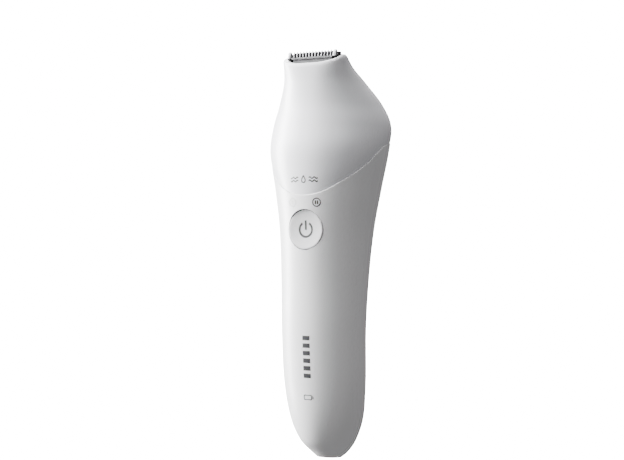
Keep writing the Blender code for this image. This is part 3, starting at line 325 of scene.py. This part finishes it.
def rounded(a, b, radius, steps=6):
    """A rectangle with round corners, from its two spans."""
    corners = ((a[1], b[1]), (a[0], b[1]), (a[0], b[0]), (a[1], b[0]))
    points = []
    for quarter, (corner_a, corner_b) in enumerate(corners):
        centre_a = corner_a - radius if quarter in (0, 3) else corner_a + radius
        centre_b = corner_b - radius if quarter in (0, 1) else corner_b + radius
        for i in range(steps + 1):
            turn = math.pi / 2 * (quarter + i / steps)
            points.append((centre_a + radius * math.cos(turn), centre_b + radius * math.sin(turn)))
    return points


def span(middle, half):
    return (middle - half, middle + half)


def show(obj, node_body, slot, material, *nodes):
    """Puts a finished piece on its body, in place of CAD nodes."""
    obj.data.materials.clear()
    obj.data.materials.append(material)
    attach(obj, node_body)
    if nodes:
        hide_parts(*nodes)


# ---------------------------------------------------------------------------------------------
# Shells
# ---------------------------------------------------------------------------------------------
def lip(edge_z, inset, radius, way, steps):
    """Rings over a rounded edge, from the skin at radius before it to the level edge.

    way is 1 at an upper edge and -1 at a lower one, and inset is how far in the edge stands.
    """
    base = OUTER.at(edge_z - way * radius)
    across = (INNER.at(edge_z) - base)[:, :2]
    inward = across / np.linalg.norm(across, axis=1)[:, None]
    rings = []
    for i in range(1, steps + 1):
        turn = math.pi / 2 * i / steps
        points = OUTER.at(edge_z - way * radius * (1 - math.sin(turn)))
        points[:, :2] += inward * (inset + radius * (1 - math.cos(turn)))
        rings.append(points)
    return rings


def inner_rings(top, bottom, rows):
    """Rings down the inside of a shell."""
    return [INNER.at(top - (top - bottom) * row / (rows - 1)) for row in range(rows)]


def step_in(points, inset):
    """A ring drawn in towards the inner skin by inset, one value for each column."""
    towards = INNER.at(points[:, 2])[:, :2] - points[:, :2]
    moved = points.copy()
    moved[:, :2] += towards / np.linalg.norm(towards, axis=1)[:, None] * inset[:, None]
    return moved


def handle_solid():
    """The handle as one hollow body, open at the seam."""
    seam = OUTER.where(seam_height) - SEAM_GAP / 2
    floor = WALL + FLOOR_EXTRA
    rings = []
    for row in range(HANDLE_ROWS + 1):
        share = (row / HANDLE_ROWS) ** ROW_CROWDING
        rings.append(OUTER.at((seam - HANDLE_LIP) * share))
    rings += lip(seam, 0.0, HANDLE_LIP, 1, 1)
    rings += inner_rings(seam, floor, HANDLE_INNER_ROWS)
    return rings_mesh("handle", rings)


def cut_hole(shell, outline, axis, levels):
    boolean(shell, prism("hole", outline, axis, levels), "DIFFERENCE")


def cut_front_holes(shell):
    """Holes for the power button, the two speed lights and the battery light."""
    before, past_wall, past_lower_wall = -30, -10, -8
    cut_hole(shell, circle((0, BUTTON_Z), BUTTON_R + BUTTON_GAP), "y", (before, past_wall))
    for side in (-1, 1):
        hole = circle((side * LIGHT_X, LIGHT_Z), LIGHT_R + WINDOW_GAP, SMALL_ROUND_SIDES)
        cut_hole(shell, hole, "y", (before, past_wall))
    battery = rounded(
        span(0, BATTERY_LIGHT_HALF_X + WINDOW_GAP),
        span(BATTERY_LIGHT_Z, BATTERY_LIGHT_HALF_Z + WINDOW_GAP),
        BATTERY_LIGHT_CORNER + WINDOW_GAP,
    )
    cut_hole(shell, battery, "y", (before, past_lower_wall))


def cut_other_holes(shell):
    """Holes for the charging socket below and the release button behind."""
    grow = SOCKET_WALL + CLEAR
    socket = rounded(
        span(0, SOCKET_HALF_X + grow), span(SOCKET_Y, SOCKET_HALF_Y + grow), SOCKET_CORNER + grow
    )
    below, past_floor = -5, 8
    cut_hole(shell, socket, "z", (below, past_floor))
    release = rounded(
        span(0, RELEASE_HALF + CLEAR), (RELEASE_LOW - CLEAR, RELEASE_HIGH + CLEAR), RELEASE_CORNER + CLEAR
    )
    before_wall, behind = 12, 40
    cut_hole(shell, release, "y", (before_wall, behind))


def handle_shells():
    """The front and rear shells, parted by a fine gap."""
    front = handle_solid()
    cut_front_holes(front)
    cut_other_holes(front)
    rear = front.copy()
    rear.data = front.data.copy()
    bpy.context.scene.collection.objects.link(rear)
    beyond, below, above = 60, -5, 200
    outline = [(-beyond, below), (beyond, below), (beyond, above), (-beyond, above)]
    front_side = (-beyond, PARTING_Y - PARTING_GAP / 2)
    rear_side = (PARTING_Y + PARTING_GAP / 2, beyond)
    for shell, levels in ((front, front_side), (rear, rear_side)):
        boolean(shell, prism("side", outline, "y", levels), "INTERSECT")
    front.name, rear.name = "front_shell_fine", "rear_shell_fine"
    return front, rear


def head_solid():
    """The head's housing: a shell that is open at the seam and at the mouth.

    It steps in a little at the seam, so that the handle's edge shows as a thin bright line.
    """
    seam = OUTER.where(seam_height) + SEAM_GAP / 2
    mouth = OUTER.where(mouth_height)
    low, high = seam + HEAD_LIP, mouth - MOUTH_LIP
    rings = list(reversed(lip(seam, SEAM_STEP, HEAD_LIP, -1, 5)))
    for row in range(HEAD_ROWS + 1):
        z = low + (high - low) * (row / HEAD_ROWS) ** ROW_CROWDING
        near = np.clip(1 - (z - low) / SEAM_BLEND, 0, 1) ** 2
        rings.append(step_in(OUTER.at(z), SEAM_STEP * near))
    rings += lip(mouth, 0.0, MOUTH_LIP, 1, 2)
    rings += inner_rings(mouth - INNER_EDGE, seam + INNER_EDGE, HEAD_INNER_ROWS)
    faces = []
    for level in range(len(rings)):
        faces += band(COLUMNS, level * COLUMNS, (level + 1) % len(rings) * COLUMNS)
    return new_mesh("head_housing_fine", np.concatenate(rings), faces)


# ---------------------------------------------------------------------------------------------
# Materials
# ---------------------------------------------------------------------------------------------
def base_material(name, colour, roughness, metallic=0.0, specular=0.5):
    made = bpy.data.materials.new(name)
    made.use_nodes = True
    shader = made.node_tree.nodes["Principled BSDF"]
    shader.inputs["Base Color"].default_value = (*colour, 1)
    shader.inputs["Roughness"].default_value = roughness
    shader.inputs["Metallic"].default_value = metallic
    shader.inputs["Specular IOR Level"].default_value = specular
    return made, made.node_tree, shader


def noise(tree, scale, detail=3.0, stretch=(1, 1, 1)):
    """Noise on the object's own coordinates, in metres."""
    place = tree.nodes.new("ShaderNodeTexCoord")
    mapping = tree.nodes.new("ShaderNodeMapping")
    mapping.inputs["Scale"].default_value = stretch
    texture = tree.nodes.new("ShaderNodeTexNoise")
    texture.inputs["Scale"].default_value = scale
    texture.inputs["Detail"].default_value = detail
    tree.links.new(place.outputs["Object"], mapping.inputs["Vector"])
    tree.links.new(mapping.outputs["Vector"], texture.inputs["Vector"])
    return texture.outputs["Fac"]


def ramp(tree, source, low, high, start=0.3, end=0.7):
    """Two colours spread over a source's middle values."""
    made = tree.nodes.new("ShaderNodeValToRGB")
    made.color_ramp.elements[0].position = start
    made.color_ramp.elements[1].position = end
    made.color_ramp.elements[0].color = (*low, 1)
    made.color_ramp.elements[1].color = (*high, 1)
    tree.links.new(source, made.inputs["Fac"])
    return made.outputs["Color"]


def vary_roughness(tree, shader, source, low, high):
    spread = tree.nodes.new("ShaderNodeMapRange")
    spread.inputs["To Min"].default_value = low
    spread.inputs["To Max"].default_value = high
    tree.links.new(source, spread.inputs["Value"])
    tree.links.new(spread.outputs["Result"], shader.inputs["Roughness"])


def add_bump(tree, shader, source, distance, strength=0.3):
    bump = tree.nodes.new("ShaderNodeBump")
    bump.inputs["Distance"].default_value = distance
    bump.inputs["Strength"].default_value = strength
    tree.links.new(source, bump.inputs["Height"])
    tree.links.new(bump.outputs["Normal"], shader.inputs["Normal"])


def plastic(name, colour, shade, roughness, bump=0.00002, specular=0.5):
    """Moulded plastic: faint flow mottling, uneven gloss and a fine skin texture."""
    mottling, gloss_grain, skin_grain = 28, 160, 2600
    made, tree, shader = base_material(name, colour, roughness, 0.0, specular)
    tree.links.new(ramp(tree, noise(tree, mottling), colour, shade), shader.inputs["Base Color"])
    vary_roughness(tree, shader, noise(tree, gloss_grain, 4), roughness - 0.04, roughness + 0.05)
    add_bump(tree, shader, noise(tree, skin_grain, 2), bump)
    return made


def metal(name, colour, shade, roughness, stretch=(1, 1, 18)):
    """Ground metal, with fine lines across one axis."""
    line_grain, line_depth = 900, 0.00001
    made, tree, shader = base_material(name, colour, roughness, 1.0)
    lines = noise(tree, line_grain, 3, stretch)
    tree.links.new(ramp(tree, lines, shade, colour), shader.inputs["Base Color"])
    vary_roughness(tree, shader, lines, roughness - 0.06, roughness + 0.08)
    add_bump(tree, shader, lines, line_depth)
    return made


WHITE = plastic("shell_white_satin", (0.80, 0.80, 0.81), (0.79, 0.79, 0.80), 0.33)
HEAD_WHITE = plastic("head_white_satin", (0.79, 0.79, 0.82), (0.78, 0.78, 0.81), 0.33)
SILVER = plastic("button_silver_satin", (0.66, 0.66, 0.67), (0.64, 0.64, 0.65), 0.38)
WINDOW = plastic("light_window_frosted", (0.78, 0.78, 0.79), (0.76, 0.76, 0.77), 0.25)
DARK_PRINT = plastic("print_dark_grey", (0.022, 0.023, 0.025), (0.016, 0.017, 0.018), 0.5)
MID_PRINT = plastic("print_mid_grey", (0.04, 0.041, 0.043), (0.03, 0.031, 0.033), 0.5)
# Painted highlight: the first speed mark has the same dark grey print as the second, painted pale where
# the key light washes it out.
PRINT_PAINTED_HIGHLIGHT = plastic("print_grey_painted_highlight", (0.62, 0.62, 0.62), (0.6, 0.6, 0.6), 0.5)
BLACK = plastic(
    "black_matt_plastic", (0.010, 0.010, 0.011), (0.016, 0.016, 0.017), 0.7, specular=0.1
)
GREY = plastic("grey_matt_plastic", (0.34, 0.35, 0.36), (0.31, 0.32, 0.33), 0.5, 0.00005)
ACETAL = plastic("white_acetal", (0.8, 0.8, 0.77), (0.77, 0.77, 0.74), 0.45)
RUBBER = plastic("seal_rubber", (0.05, 0.05, 0.055), (0.035, 0.035, 0.04), 0.75, 0.00008)
BOARD = plastic("board_green_mask", (0.02, 0.16, 0.07), (0.03, 0.22, 0.1), 0.4)
WRAP = plastic("cell_wrap_blue", (0.05, 0.18, 0.42), (0.06, 0.21, 0.46), 0.35)
STEEL = metal("ground_steel", (0.72, 0.72, 0.73), (0.62, 0.62, 0.63), 0.28)
# Steel grey darkened as painted shade, so that the shaded sides of the comb's teeth and its bar read dark.
COMB_STEEL_PAINTED_SHADE = metal("comb_steel_painted_shade", (0.3, 0.3, 0.31), (0.22, 0.22, 0.23), 0.34)
# Painted shade: the steel cutter is painted near black, so that the gaps between the comb's teeth read
# dark.
CUTTER_PAINTED_SHADE = plastic(
    "cutter_black_painted_shade", (0.012, 0.012, 0.013), (0.02, 0.02, 0.022), 0.7, specular=0.15
)
BRASS = metal("turned_brass", (0.74, 0.58, 0.3), (0.66, 0.5, 0.24), 0.3)
COPPER = metal("wound_copper", (0.72, 0.38, 0.22), (0.6, 0.3, 0.17), 0.35, (1, 1, 40))

CAD_LOOKS = {
    "shell_white": WHITE,
    "head_white": HEAD_WHITE,
    "button_silver": SILVER,
    "light_guide": WINDOW,
    "black_plastic": BLACK,
    "grey_plastic": GREY,
    "rubber": RUBBER,
    "steel": STEEL,
    "brass": BRASS,
    "copper": COPPER,
    "board_green": BOARD,
    "cell_wrap": WRAP,
    "white_acetal": ACETAL,
}


def dress_cad_nodes():
    """Gives each CAD node the detailed material of its slot, and shades its round sides smooth."""
    for part in frame["record"]["subparts"]:
        node = frame["nodes"][part["node"]]
        node.data.materials.clear()
        node.data.materials.append(CAD_LOOKS[part["material_slot"]])
        smooth_by_angle(node, 32)


# ---------------------------------------------------------------------------------------------
# Printed marks
# ---------------------------------------------------------------------------------------------
def stroke(path, width, surface, closed=False):
    """A thin inlaid line of constant width along a path of (x, z), laid on a surface y(x, z)."""
    path = np.array(path, dtype=float)
    if closed:
        ahead, behind = np.roll(path, -1, axis=0), np.roll(path, 1, axis=0)
    else:
        ahead = np.vstack([path[1:], path[-1]])
        behind = np.vstack([path[0], path[:-1]])
    along = ahead - behind
    along /= np.linalg.norm(along, axis=1)[:, None]
    side = np.column_stack([-along[:, 1], along[:, 0]]) * width / 2
    corners = ((-1, -PRINT_PROUD), (1, -PRINT_PROUD), (1, PRINT_DEPTH), (-1, PRINT_DEPTH))
    points, faces = [], []
    for (x, z), (dx, dz) in zip(path, side):
        for sign, level in corners:
            px, pz = x + sign * dx, z + sign * dz
            points.append((px, surface(px, pz) + level, pz))
    count = len(path)
    for i in range(count if closed else count - 1):
        faces += band(4, 4 * i, 4 * ((i + 1) % count))
    if not closed:
        faces.append([0, 1, 2, 3])
        faces.append([4 * (count - 1) + k for k in range(4)])
    return points, faces


def marks(name, strokes):
    """One piece from several strokes."""
    points, faces = [], []
    for stroke_points, stroke_faces in strokes:
        start = len(points)
        points += stroke_points
        faces += [[start + i for i in face] for face in stroke_faces]
    return new_mesh(name, points, faces, 30)


def arc(centre, radius, start, end, steps):
    turns = np.radians(np.linspace(start, end, steps))
    return [(centre[0] + radius * math.sin(t), centre[1] + radius * math.cos(t)) for t in turns]


def line(a, b, steps=8):
    return [(a[0] + (b[0] - a[0]) * i / steps, a[1] + (b[1] - a[1]) * i / steps) for i in range(steps + 1)]


def power_mark():
    """An open ring with a bar in its gap."""
    ring_r, ring_thick, opening = 3.05, 0.95, 32
    bar_top, bar_foot, bar_thick = 3.9, -0.2, 0.92
    open_ring = arc((0, BUTTON_Z), ring_r, opening, 360 - opening, 60)
    bar = line((0, BUTTON_Z + bar_top), (0, BUTTON_Z + bar_foot))
    return marks("power_symbol", [stroke(open_ring, ring_thick, dish_y), stroke(bar, bar_thick, dish_y)])


def speed_mark(number, side, bars):
    """A ring round one or two bars, on a speed light."""
    ring_r, ring_thick = 1.68, 0.42
    bar_half, bar_thick = 0.8, 0.52
    centre = (side * LIGHT_X, LIGHT_Z)
    full_ring = arc(centre, ring_r, 0, 360, 49)[:-1]
    strokes = [stroke(full_ring, ring_thick, front_y, closed=True)]
    for offset in bars:
        x = centre[0] + offset
        bar = line((x, LIGHT_Z - bar_half), (x, LIGHT_Z + bar_half))
        strokes.append(stroke(bar, bar_thick, front_y))
    return marks(f"speed_mark_{number}", strokes)


def battery_mark():
    """A battery's outline, with the bulge of its terminal."""
    middle, half_x, half_z, corner = -0.25, 1.8, 0.95, 0.35
    bulge, thick = 0.75, 0.36
    outline = rounded(span(middle, half_x), span(BATTERY_LIGHT_Z, half_z), corner)
    terminal = arc((middle + half_x, BATTERY_LIGHT_Z), bulge, 45, 135, 10)
    strokes = [stroke(outline, thick, front_y, closed=True), stroke(terminal, thick, front_y)]
    return marks("battery_symbol", strokes)


def drop_mark():
    """A water drop between two pairs of ripples, for use under water."""
    foot, thick = 117.6, 0.46
    drop_up, drop_half_x, drop_half_z, drop_taper, drop_steps = 1.4, 1.1875, 1.45, 1.3, 40
    ripple_start, ripple_long, ripple_high, ripple_steps = 2.6, 4.0, 0.32, 24
    drop = []
    for i in range(drop_steps):
        t = 2 * math.pi * i / drop_steps
        x = drop_half_x * math.sin(t) * math.sin(t / 2) ** drop_taper
        drop.append((x, foot + drop_up + drop_half_z * math.cos(t)))
    strokes = [stroke(drop, thick, front_y, closed=True)]
    for side in (-1, 1):
        for up in (0.6, 1.9):
            ripple = []
            for i in range(ripple_steps + 1):
                share = i / ripple_steps
                z = foot + up + ripple_high * math.sin(4 * math.pi * share)
                ripple.append((side * (ripple_start + ripple_long * share), z))
            strokes.append(stroke(ripple, thick, front_y))
    return marks("wash_symbol", strokes)


def gauge_mark():
    """A column of level bars on the grip."""
    count, lowest, pitch = 6, 36.2, 3.2
    half, thick = 1.75, 1.9
    strokes = []
    for i in range(count):
        z = lowest + pitch * i
        strokes.append(stroke(line((-half, z), (half, z)), thick, front_y))
    return marks("level_bars", strokes)


# ---------------------------------------------------------------------------------------------
# Controls
# ---------------------------------------------------------------------------------------------
def plug(name, outline, surface, back_y, edge):
    """A plug whose face lies on a surface y(x, z), with a rounded edge."""
    outline = np.array(outline)
    centre = outline.mean(axis=0)
    size = np.abs(outline - centre).max()
    rings = [np.array([(x, back_y, z) for x, z in outline])]
    for degrees in (0, 30, 60, 90):
        turn = math.radians(degrees)
        rows = centre + (outline - centre) * (1 - edge * (1 - math.cos(turn)) / size)
        drop = edge * (1 - math.sin(turn))
        rings.append(np.array([(x, surface(x, z) + drop, z) for x, z in rows]))
    least_steps, step_size = 3, 0.6
    steps = max(least_steps, int(size / step_size))
    for k in range(1, steps):
        rows = centre + (outline - centre) * (1 - edge / size) * (1 - k / steps)
        rings.append(np.array([(x, surface(x, z), z) for x, z in rows]))
    return rings_mesh(name, rings, 50)


def power_controls():
    outline = circle((0, BUTTON_Z), BUTTON_R)
    button = plug("power_button_fine", outline, dish_y, BUTTON_BACK_Y, BUTTON_EDGE)
    show(button, "power_button", "button_silver", SILVER, "power_button")
    show(power_mark(), "power_button", "button_silver", DARK_PRINT)


def speed_lights():
    # Painted highlight: the first speed mark is painted pale, standing in for the key light washing out
    # its dark grey print.
    show(speed_mark(1, -1, (0,)), "handle", "light_guide", PRINT_PAINTED_HIGHLIGHT)
    show(speed_mark(2, 1, (-0.45, 0.45)), "handle", "light_guide", DARK_PRINT)
    for number, side in enumerate((-1, 1), 1):
        outline = circle((side * LIGHT_X, LIGHT_Z), LIGHT_R, SMALL_ROUND_SIDES)
        window = plug(f"speed_light_{number}_fine", outline, front_y, SPEED_LIGHT_BACK_Y, WINDOW_EDGE)
        show(window, "handle", "light_guide", WINDOW, f"speed_light_{number}")


def battery_light():
    half_x, half_z = BATTERY_LIGHT_HALF_X, BATTERY_LIGHT_HALF_Z
    outline = rounded(span(0, half_x), span(BATTERY_LIGHT_Z, half_z), BATTERY_LIGHT_CORNER)
    window = plug("battery_light_fine", outline, front_y, BATTERY_LIGHT_BACK_Y, WINDOW_EDGE)
    show(window, "handle", "light_guide", WINDOW, "battery_light")
    show(battery_mark(), "handle", "light_guide", MID_PRINT)


# ---------------------------------------------------------------------------------------------
# Blades
# ---------------------------------------------------------------------------------------------
def tooth_middles():
    return [(i - (TOOTH_COUNT - 1) / 2) * TOOTH_PITCH for i in range(TOOTH_COUNT)]


def tooth_solid(x, half, tip_half, depth, foot, top):
    """One blade tooth: rings that narrow upwards and lean back to a rounded tip."""
    front, back = depth
    tip_start, tip_taper, lean = 0.85, 3, 0.55
    rings = []
    for up in (0.0, 0.35, 0.6, 0.78, 0.9, 0.97, 1.0):
        z = foot + (top - foot) * up
        wide = (half + (tip_half - half) * up) * (1 - max(0, up - tip_start) * tip_taper)
        ring_x, ring_y = span(x, wide), (front + (back - front) * lean * up**2, back)
        rings.append([(px, py, z) for px, py in rounded(ring_x, ring_y, wide * 0.5, 3)])
    return rings_mesh("tooth", rings, 45)


def comb():
    """The steel comb: a plate, a bar and slender teeth, with a wide tooth at each end."""
    front, back = GUARD_Y - TOOTH_RIB, GUARD_Y + BLADE_THICK
    inner = COMB_HALF - END_TOOTH_WIDE
    plate_in, plate_drop, plate_corner = 0.4, 0.2, 0.3
    bar_high, bar_corner = 0.7, 0.25
    link_in, link_low, link_drop, link_corner = 0.3, 0.6, 0.05, 0.12
    plate = rounded(span(0, inner - plate_in), (COMB_FOOT, COMB_ROOT - plate_drop), plate_corner)
    bar = rounded(span(0, inner), (COMB_ROOT - bar_high, COMB_ROOT), bar_corner)
    link_levels = (COMB_ROOT - link_low, COMB_ROOT - link_drop)
    link = rounded(span(0, COMB_HALF - link_in), link_levels, link_corner)
    # The backs lie a hair apart, so that no two faces share a plane.
    hair = 0.02
    pieces = [
        prism("plate", plate, "y", (GUARD_Y, back)),
        prism("bar", bar, "y", (front, back - hair)),
        prism("link", link, "y", (GUARD_Y + 0.1, back - 3 * hair)),
    ]
    half, tip_half, set_back, sunk = 0.27, 0.2, 0.5, 0.3
    depth = (front + set_back, back - 2 * hair)
    for x in tooth_middles():
        pieces.append(tooth_solid(x, half, tip_half, depth, COMB_ROOT - sunk, COMB_TOP))
    half, narrowing, set_back, sunk = END_TOOTH_WIDE / 2, 0.25, 0.2, 0.1
    depth = (front + set_back, back - 2 * hair)
    for side in (-1, 1):
        end = side * (inner + half)
        pieces.append(tooth_solid(end, half, half - narrowing, depth, COMB_ROOT - sunk, COMB_TOP))
    return merge("guard_comb_fine", pieces)


def cutter():
    """The moving steel blade, with broad teeth close behind the comb, painted near black as painted shade
    for the gaps between the comb's teeth.
    """
    depth = (CUTTER_Y, CUTTER_Y + BLADE_THICK)
    plate_in, plate_raised, plate_drop, corner = 1.1, 3.2, 0.1, 0.3
    slot_half, slot_levels, beyond = 1.6, (163.3, 166.1), 2
    plate_levels = (COMB_FOOT + plate_raised, COMB_ROOT - plate_drop)
    plate = rounded(span(0, COMB_HALF - END_TOOTH_WIDE - plate_in), plate_levels, corner)
    slot = rounded(span(0, slot_half), slot_levels, corner)
    body = prism("plate", plate, "y", depth)
    boolean(body, prism("slot", slot, "y", (depth[0] - beyond, depth[1] + beyond)), "DIFFERENCE")
    pieces = [body]
    half, tip_half, sunk, short = 0.66, 0.56, 0.4, 0.4
    for x in tooth_middles():
        pieces.append(tooth_solid(x, half, tip_half, depth, COMB_ROOT - sunk, COMB_TOP - short))
    return merge("cutter_blade_fine", pieces)


def end_blocks():
    """Black ends of the blade holder, with a post on each, in the corners of the mouth."""
    sunk, wall_gap, block_deep, block_proud = 2, 0.45, 5, 0.25
    post_in, post_half, post_drop, post_corner = 0.1, 1.4, 0.8, 0.3
    near = COMB_HALF - END_TOOTH_WIDE + 0.75
    post_depth = (CUTTER_Y + 1.0, HOLDER_FRONT_Y + 4.8)
    outline = [
        (x, y) for x, y in ring(COMB_ROOT, WALL + wall_gap) if x > near and y < HOLDER_FRONT_Y + block_deep
    ]
    outline += [(near, outline[-1][1]), (near, outline[0][1])]
    pieces = []
    for side in (-1, 1):
        corner = [(side * x, y) for x, y in outline]
        pieces.append(prism("block", corner, "z", (HOLDER_TOP - sunk, COMB_ROOT + block_proud)))
        post = rounded(span(side * (near + post_in), post_half), post_depth, post_corner)
        pieces.append(prism("post", post, "z", (HOLDER_TOP - sunk, COMB_TOP - post_drop)))
    return merge("holder_end_blocks", pieces)


# ---------------------------------------------------------------------------------------------
# Stage
# ---------------------------------------------------------------------------------------------
def softbox(name, round_from_camera, elevation, power):
    """A large soft light a metre away. Angles are in degrees, positive to the camera's right."""
    around = AZIMUTH + math.radians(round_from_camera)
    up = math.radians(elevation)
    towards = Vector((math.sin(around) * math.cos(up), -math.cos(around) * math.cos(up), math.sin(up)))
    data = bpy.data.lights.new(name, "AREA")
    data.shape = "RECTANGLE"
    data.size, data.size_y = SOFTBOX_WIDE, SOFTBOX_HIGH
    data.energy = power
    lamp = bpy.data.objects.new(name, data)
    bpy.context.scene.collection.objects.link(lamp)
    lamp.location = Vector(LIT_POINT) + towards
    lamp.rotation_euler = (-towards).to_track_quat("-Z", "Y").to_euler()


def surroundings():
    """A dim even light on the object, and a white background behind it."""
    world = bpy.data.worlds.new("studio")
    bpy.context.scene.world = world
    world.use_nodes = True
    tree = world.node_tree
    background = tree.nodes["Background"]
    background.inputs["Color"].default_value = (1, 1, 1, 1)
    background.inputs["Strength"].default_value = AMBIENT
    bright = tree.nodes.new("ShaderNodeBackground")
    bright.inputs["Strength"].default_value = BACKDROP
    path = tree.nodes.new("ShaderNodeLightPath")
    mix = tree.nodes.new("ShaderNodeMixShader")
    tree.links.new(path.outputs["Is Camera Ray"], mix.inputs["Fac"])
    tree.links.new(background.outputs["Background"], mix.inputs[1])
    tree.links.new(bright.outputs["Background"], mix.inputs[2])
    tree.links.new(mix.outputs["Shader"], tree.nodes["World Output"].inputs["Surface"])


def floor_material():
    """A white that fades into the background."""
    made, tree, shader = base_material("floor_white", (0.9, 0.9, 0.9), 0.6)
    shader.inputs["Emission Color"].default_value = (1, 1, 1, 1)
    shader.inputs["Emission Strength"].default_value = BACKDROP
    mottled = ramp(tree, noise(tree, 3), (0.9, 0.9, 0.9), (0.88, 0.88, 0.88))
    tree.links.new(mottled, shader.inputs["Base Color"])
    return made


def stage():
    surroundings()
    half = FLOOR_HALF
    corners = [(-half, -half, 0), (half, -half, 0), (half, half, 0), (-half, half, 0)]
    mesh = bpy.data.meshes.new("floor")
    mesh.from_pydata(corners, [], [[0, 1, 2, 3]])
    mesh.materials.append(floor_material())
    floor = bpy.data.objects.new("floor", mesh)
    bpy.context.scene.collection.objects.link(floor)
    floor.location.z = -FLOOR_DROP
    floor.visible_diffuse = False
    floor.visible_glossy = False


def camera():
    right = Vector((math.cos(AZIMUTH), math.sin(AZIMUTH), 0))
    back = Vector((math.sin(AZIMUTH), -math.cos(AZIMUTH), 0))
    eye = back * DISTANCE - right * ASIDE + Vector((0, 0, EYE_HEIGHT))
    data = bpy.data.cameras.new("camera")
    data.lens = LENS
    data.sensor_width = SENSOR
    made = bpy.data.objects.new("camera", data)
    bpy.context.scene.collection.objects.link(made)
    made.location = to_world(eye)
    made.rotation_euler = (-back).to_track_quat("-Z", "Y").to_euler()
    bpy.context.scene.camera = made


# ---------------------------------------------------------------------------------------------
# Build
# ---------------------------------------------------------------------------------------------
dress_cad_nodes()
front_shell, rear_shell = handle_shells()
show(front_shell, "handle", "shell_white", WHITE, "front_shell")
show(rear_shell, "handle", "shell_white", WHITE, "rear_shell")
show(head_solid(), "trimmer_head", "head_white", HEAD_WHITE, "head_housing")
power_controls()
speed_lights()
battery_light()
show(drop_mark(), "trimmer_head", "head_white", MID_PRINT)
show(gauge_mark(), "handle", "shell_white", DARK_PRINT)
show(comb(), "trimmer_head", "steel", COMB_STEEL_PAINTED_SHADE, "guard_comb")
show(cutter(), "cutter", "steel", CUTTER_PAINTED_SHADE, "cutter_blade")
show(end_blocks(), "trimmer_head", "black_plastic", BLACK)
stage()
for box in SOFTBOXES:
    softbox(*box)
camera()
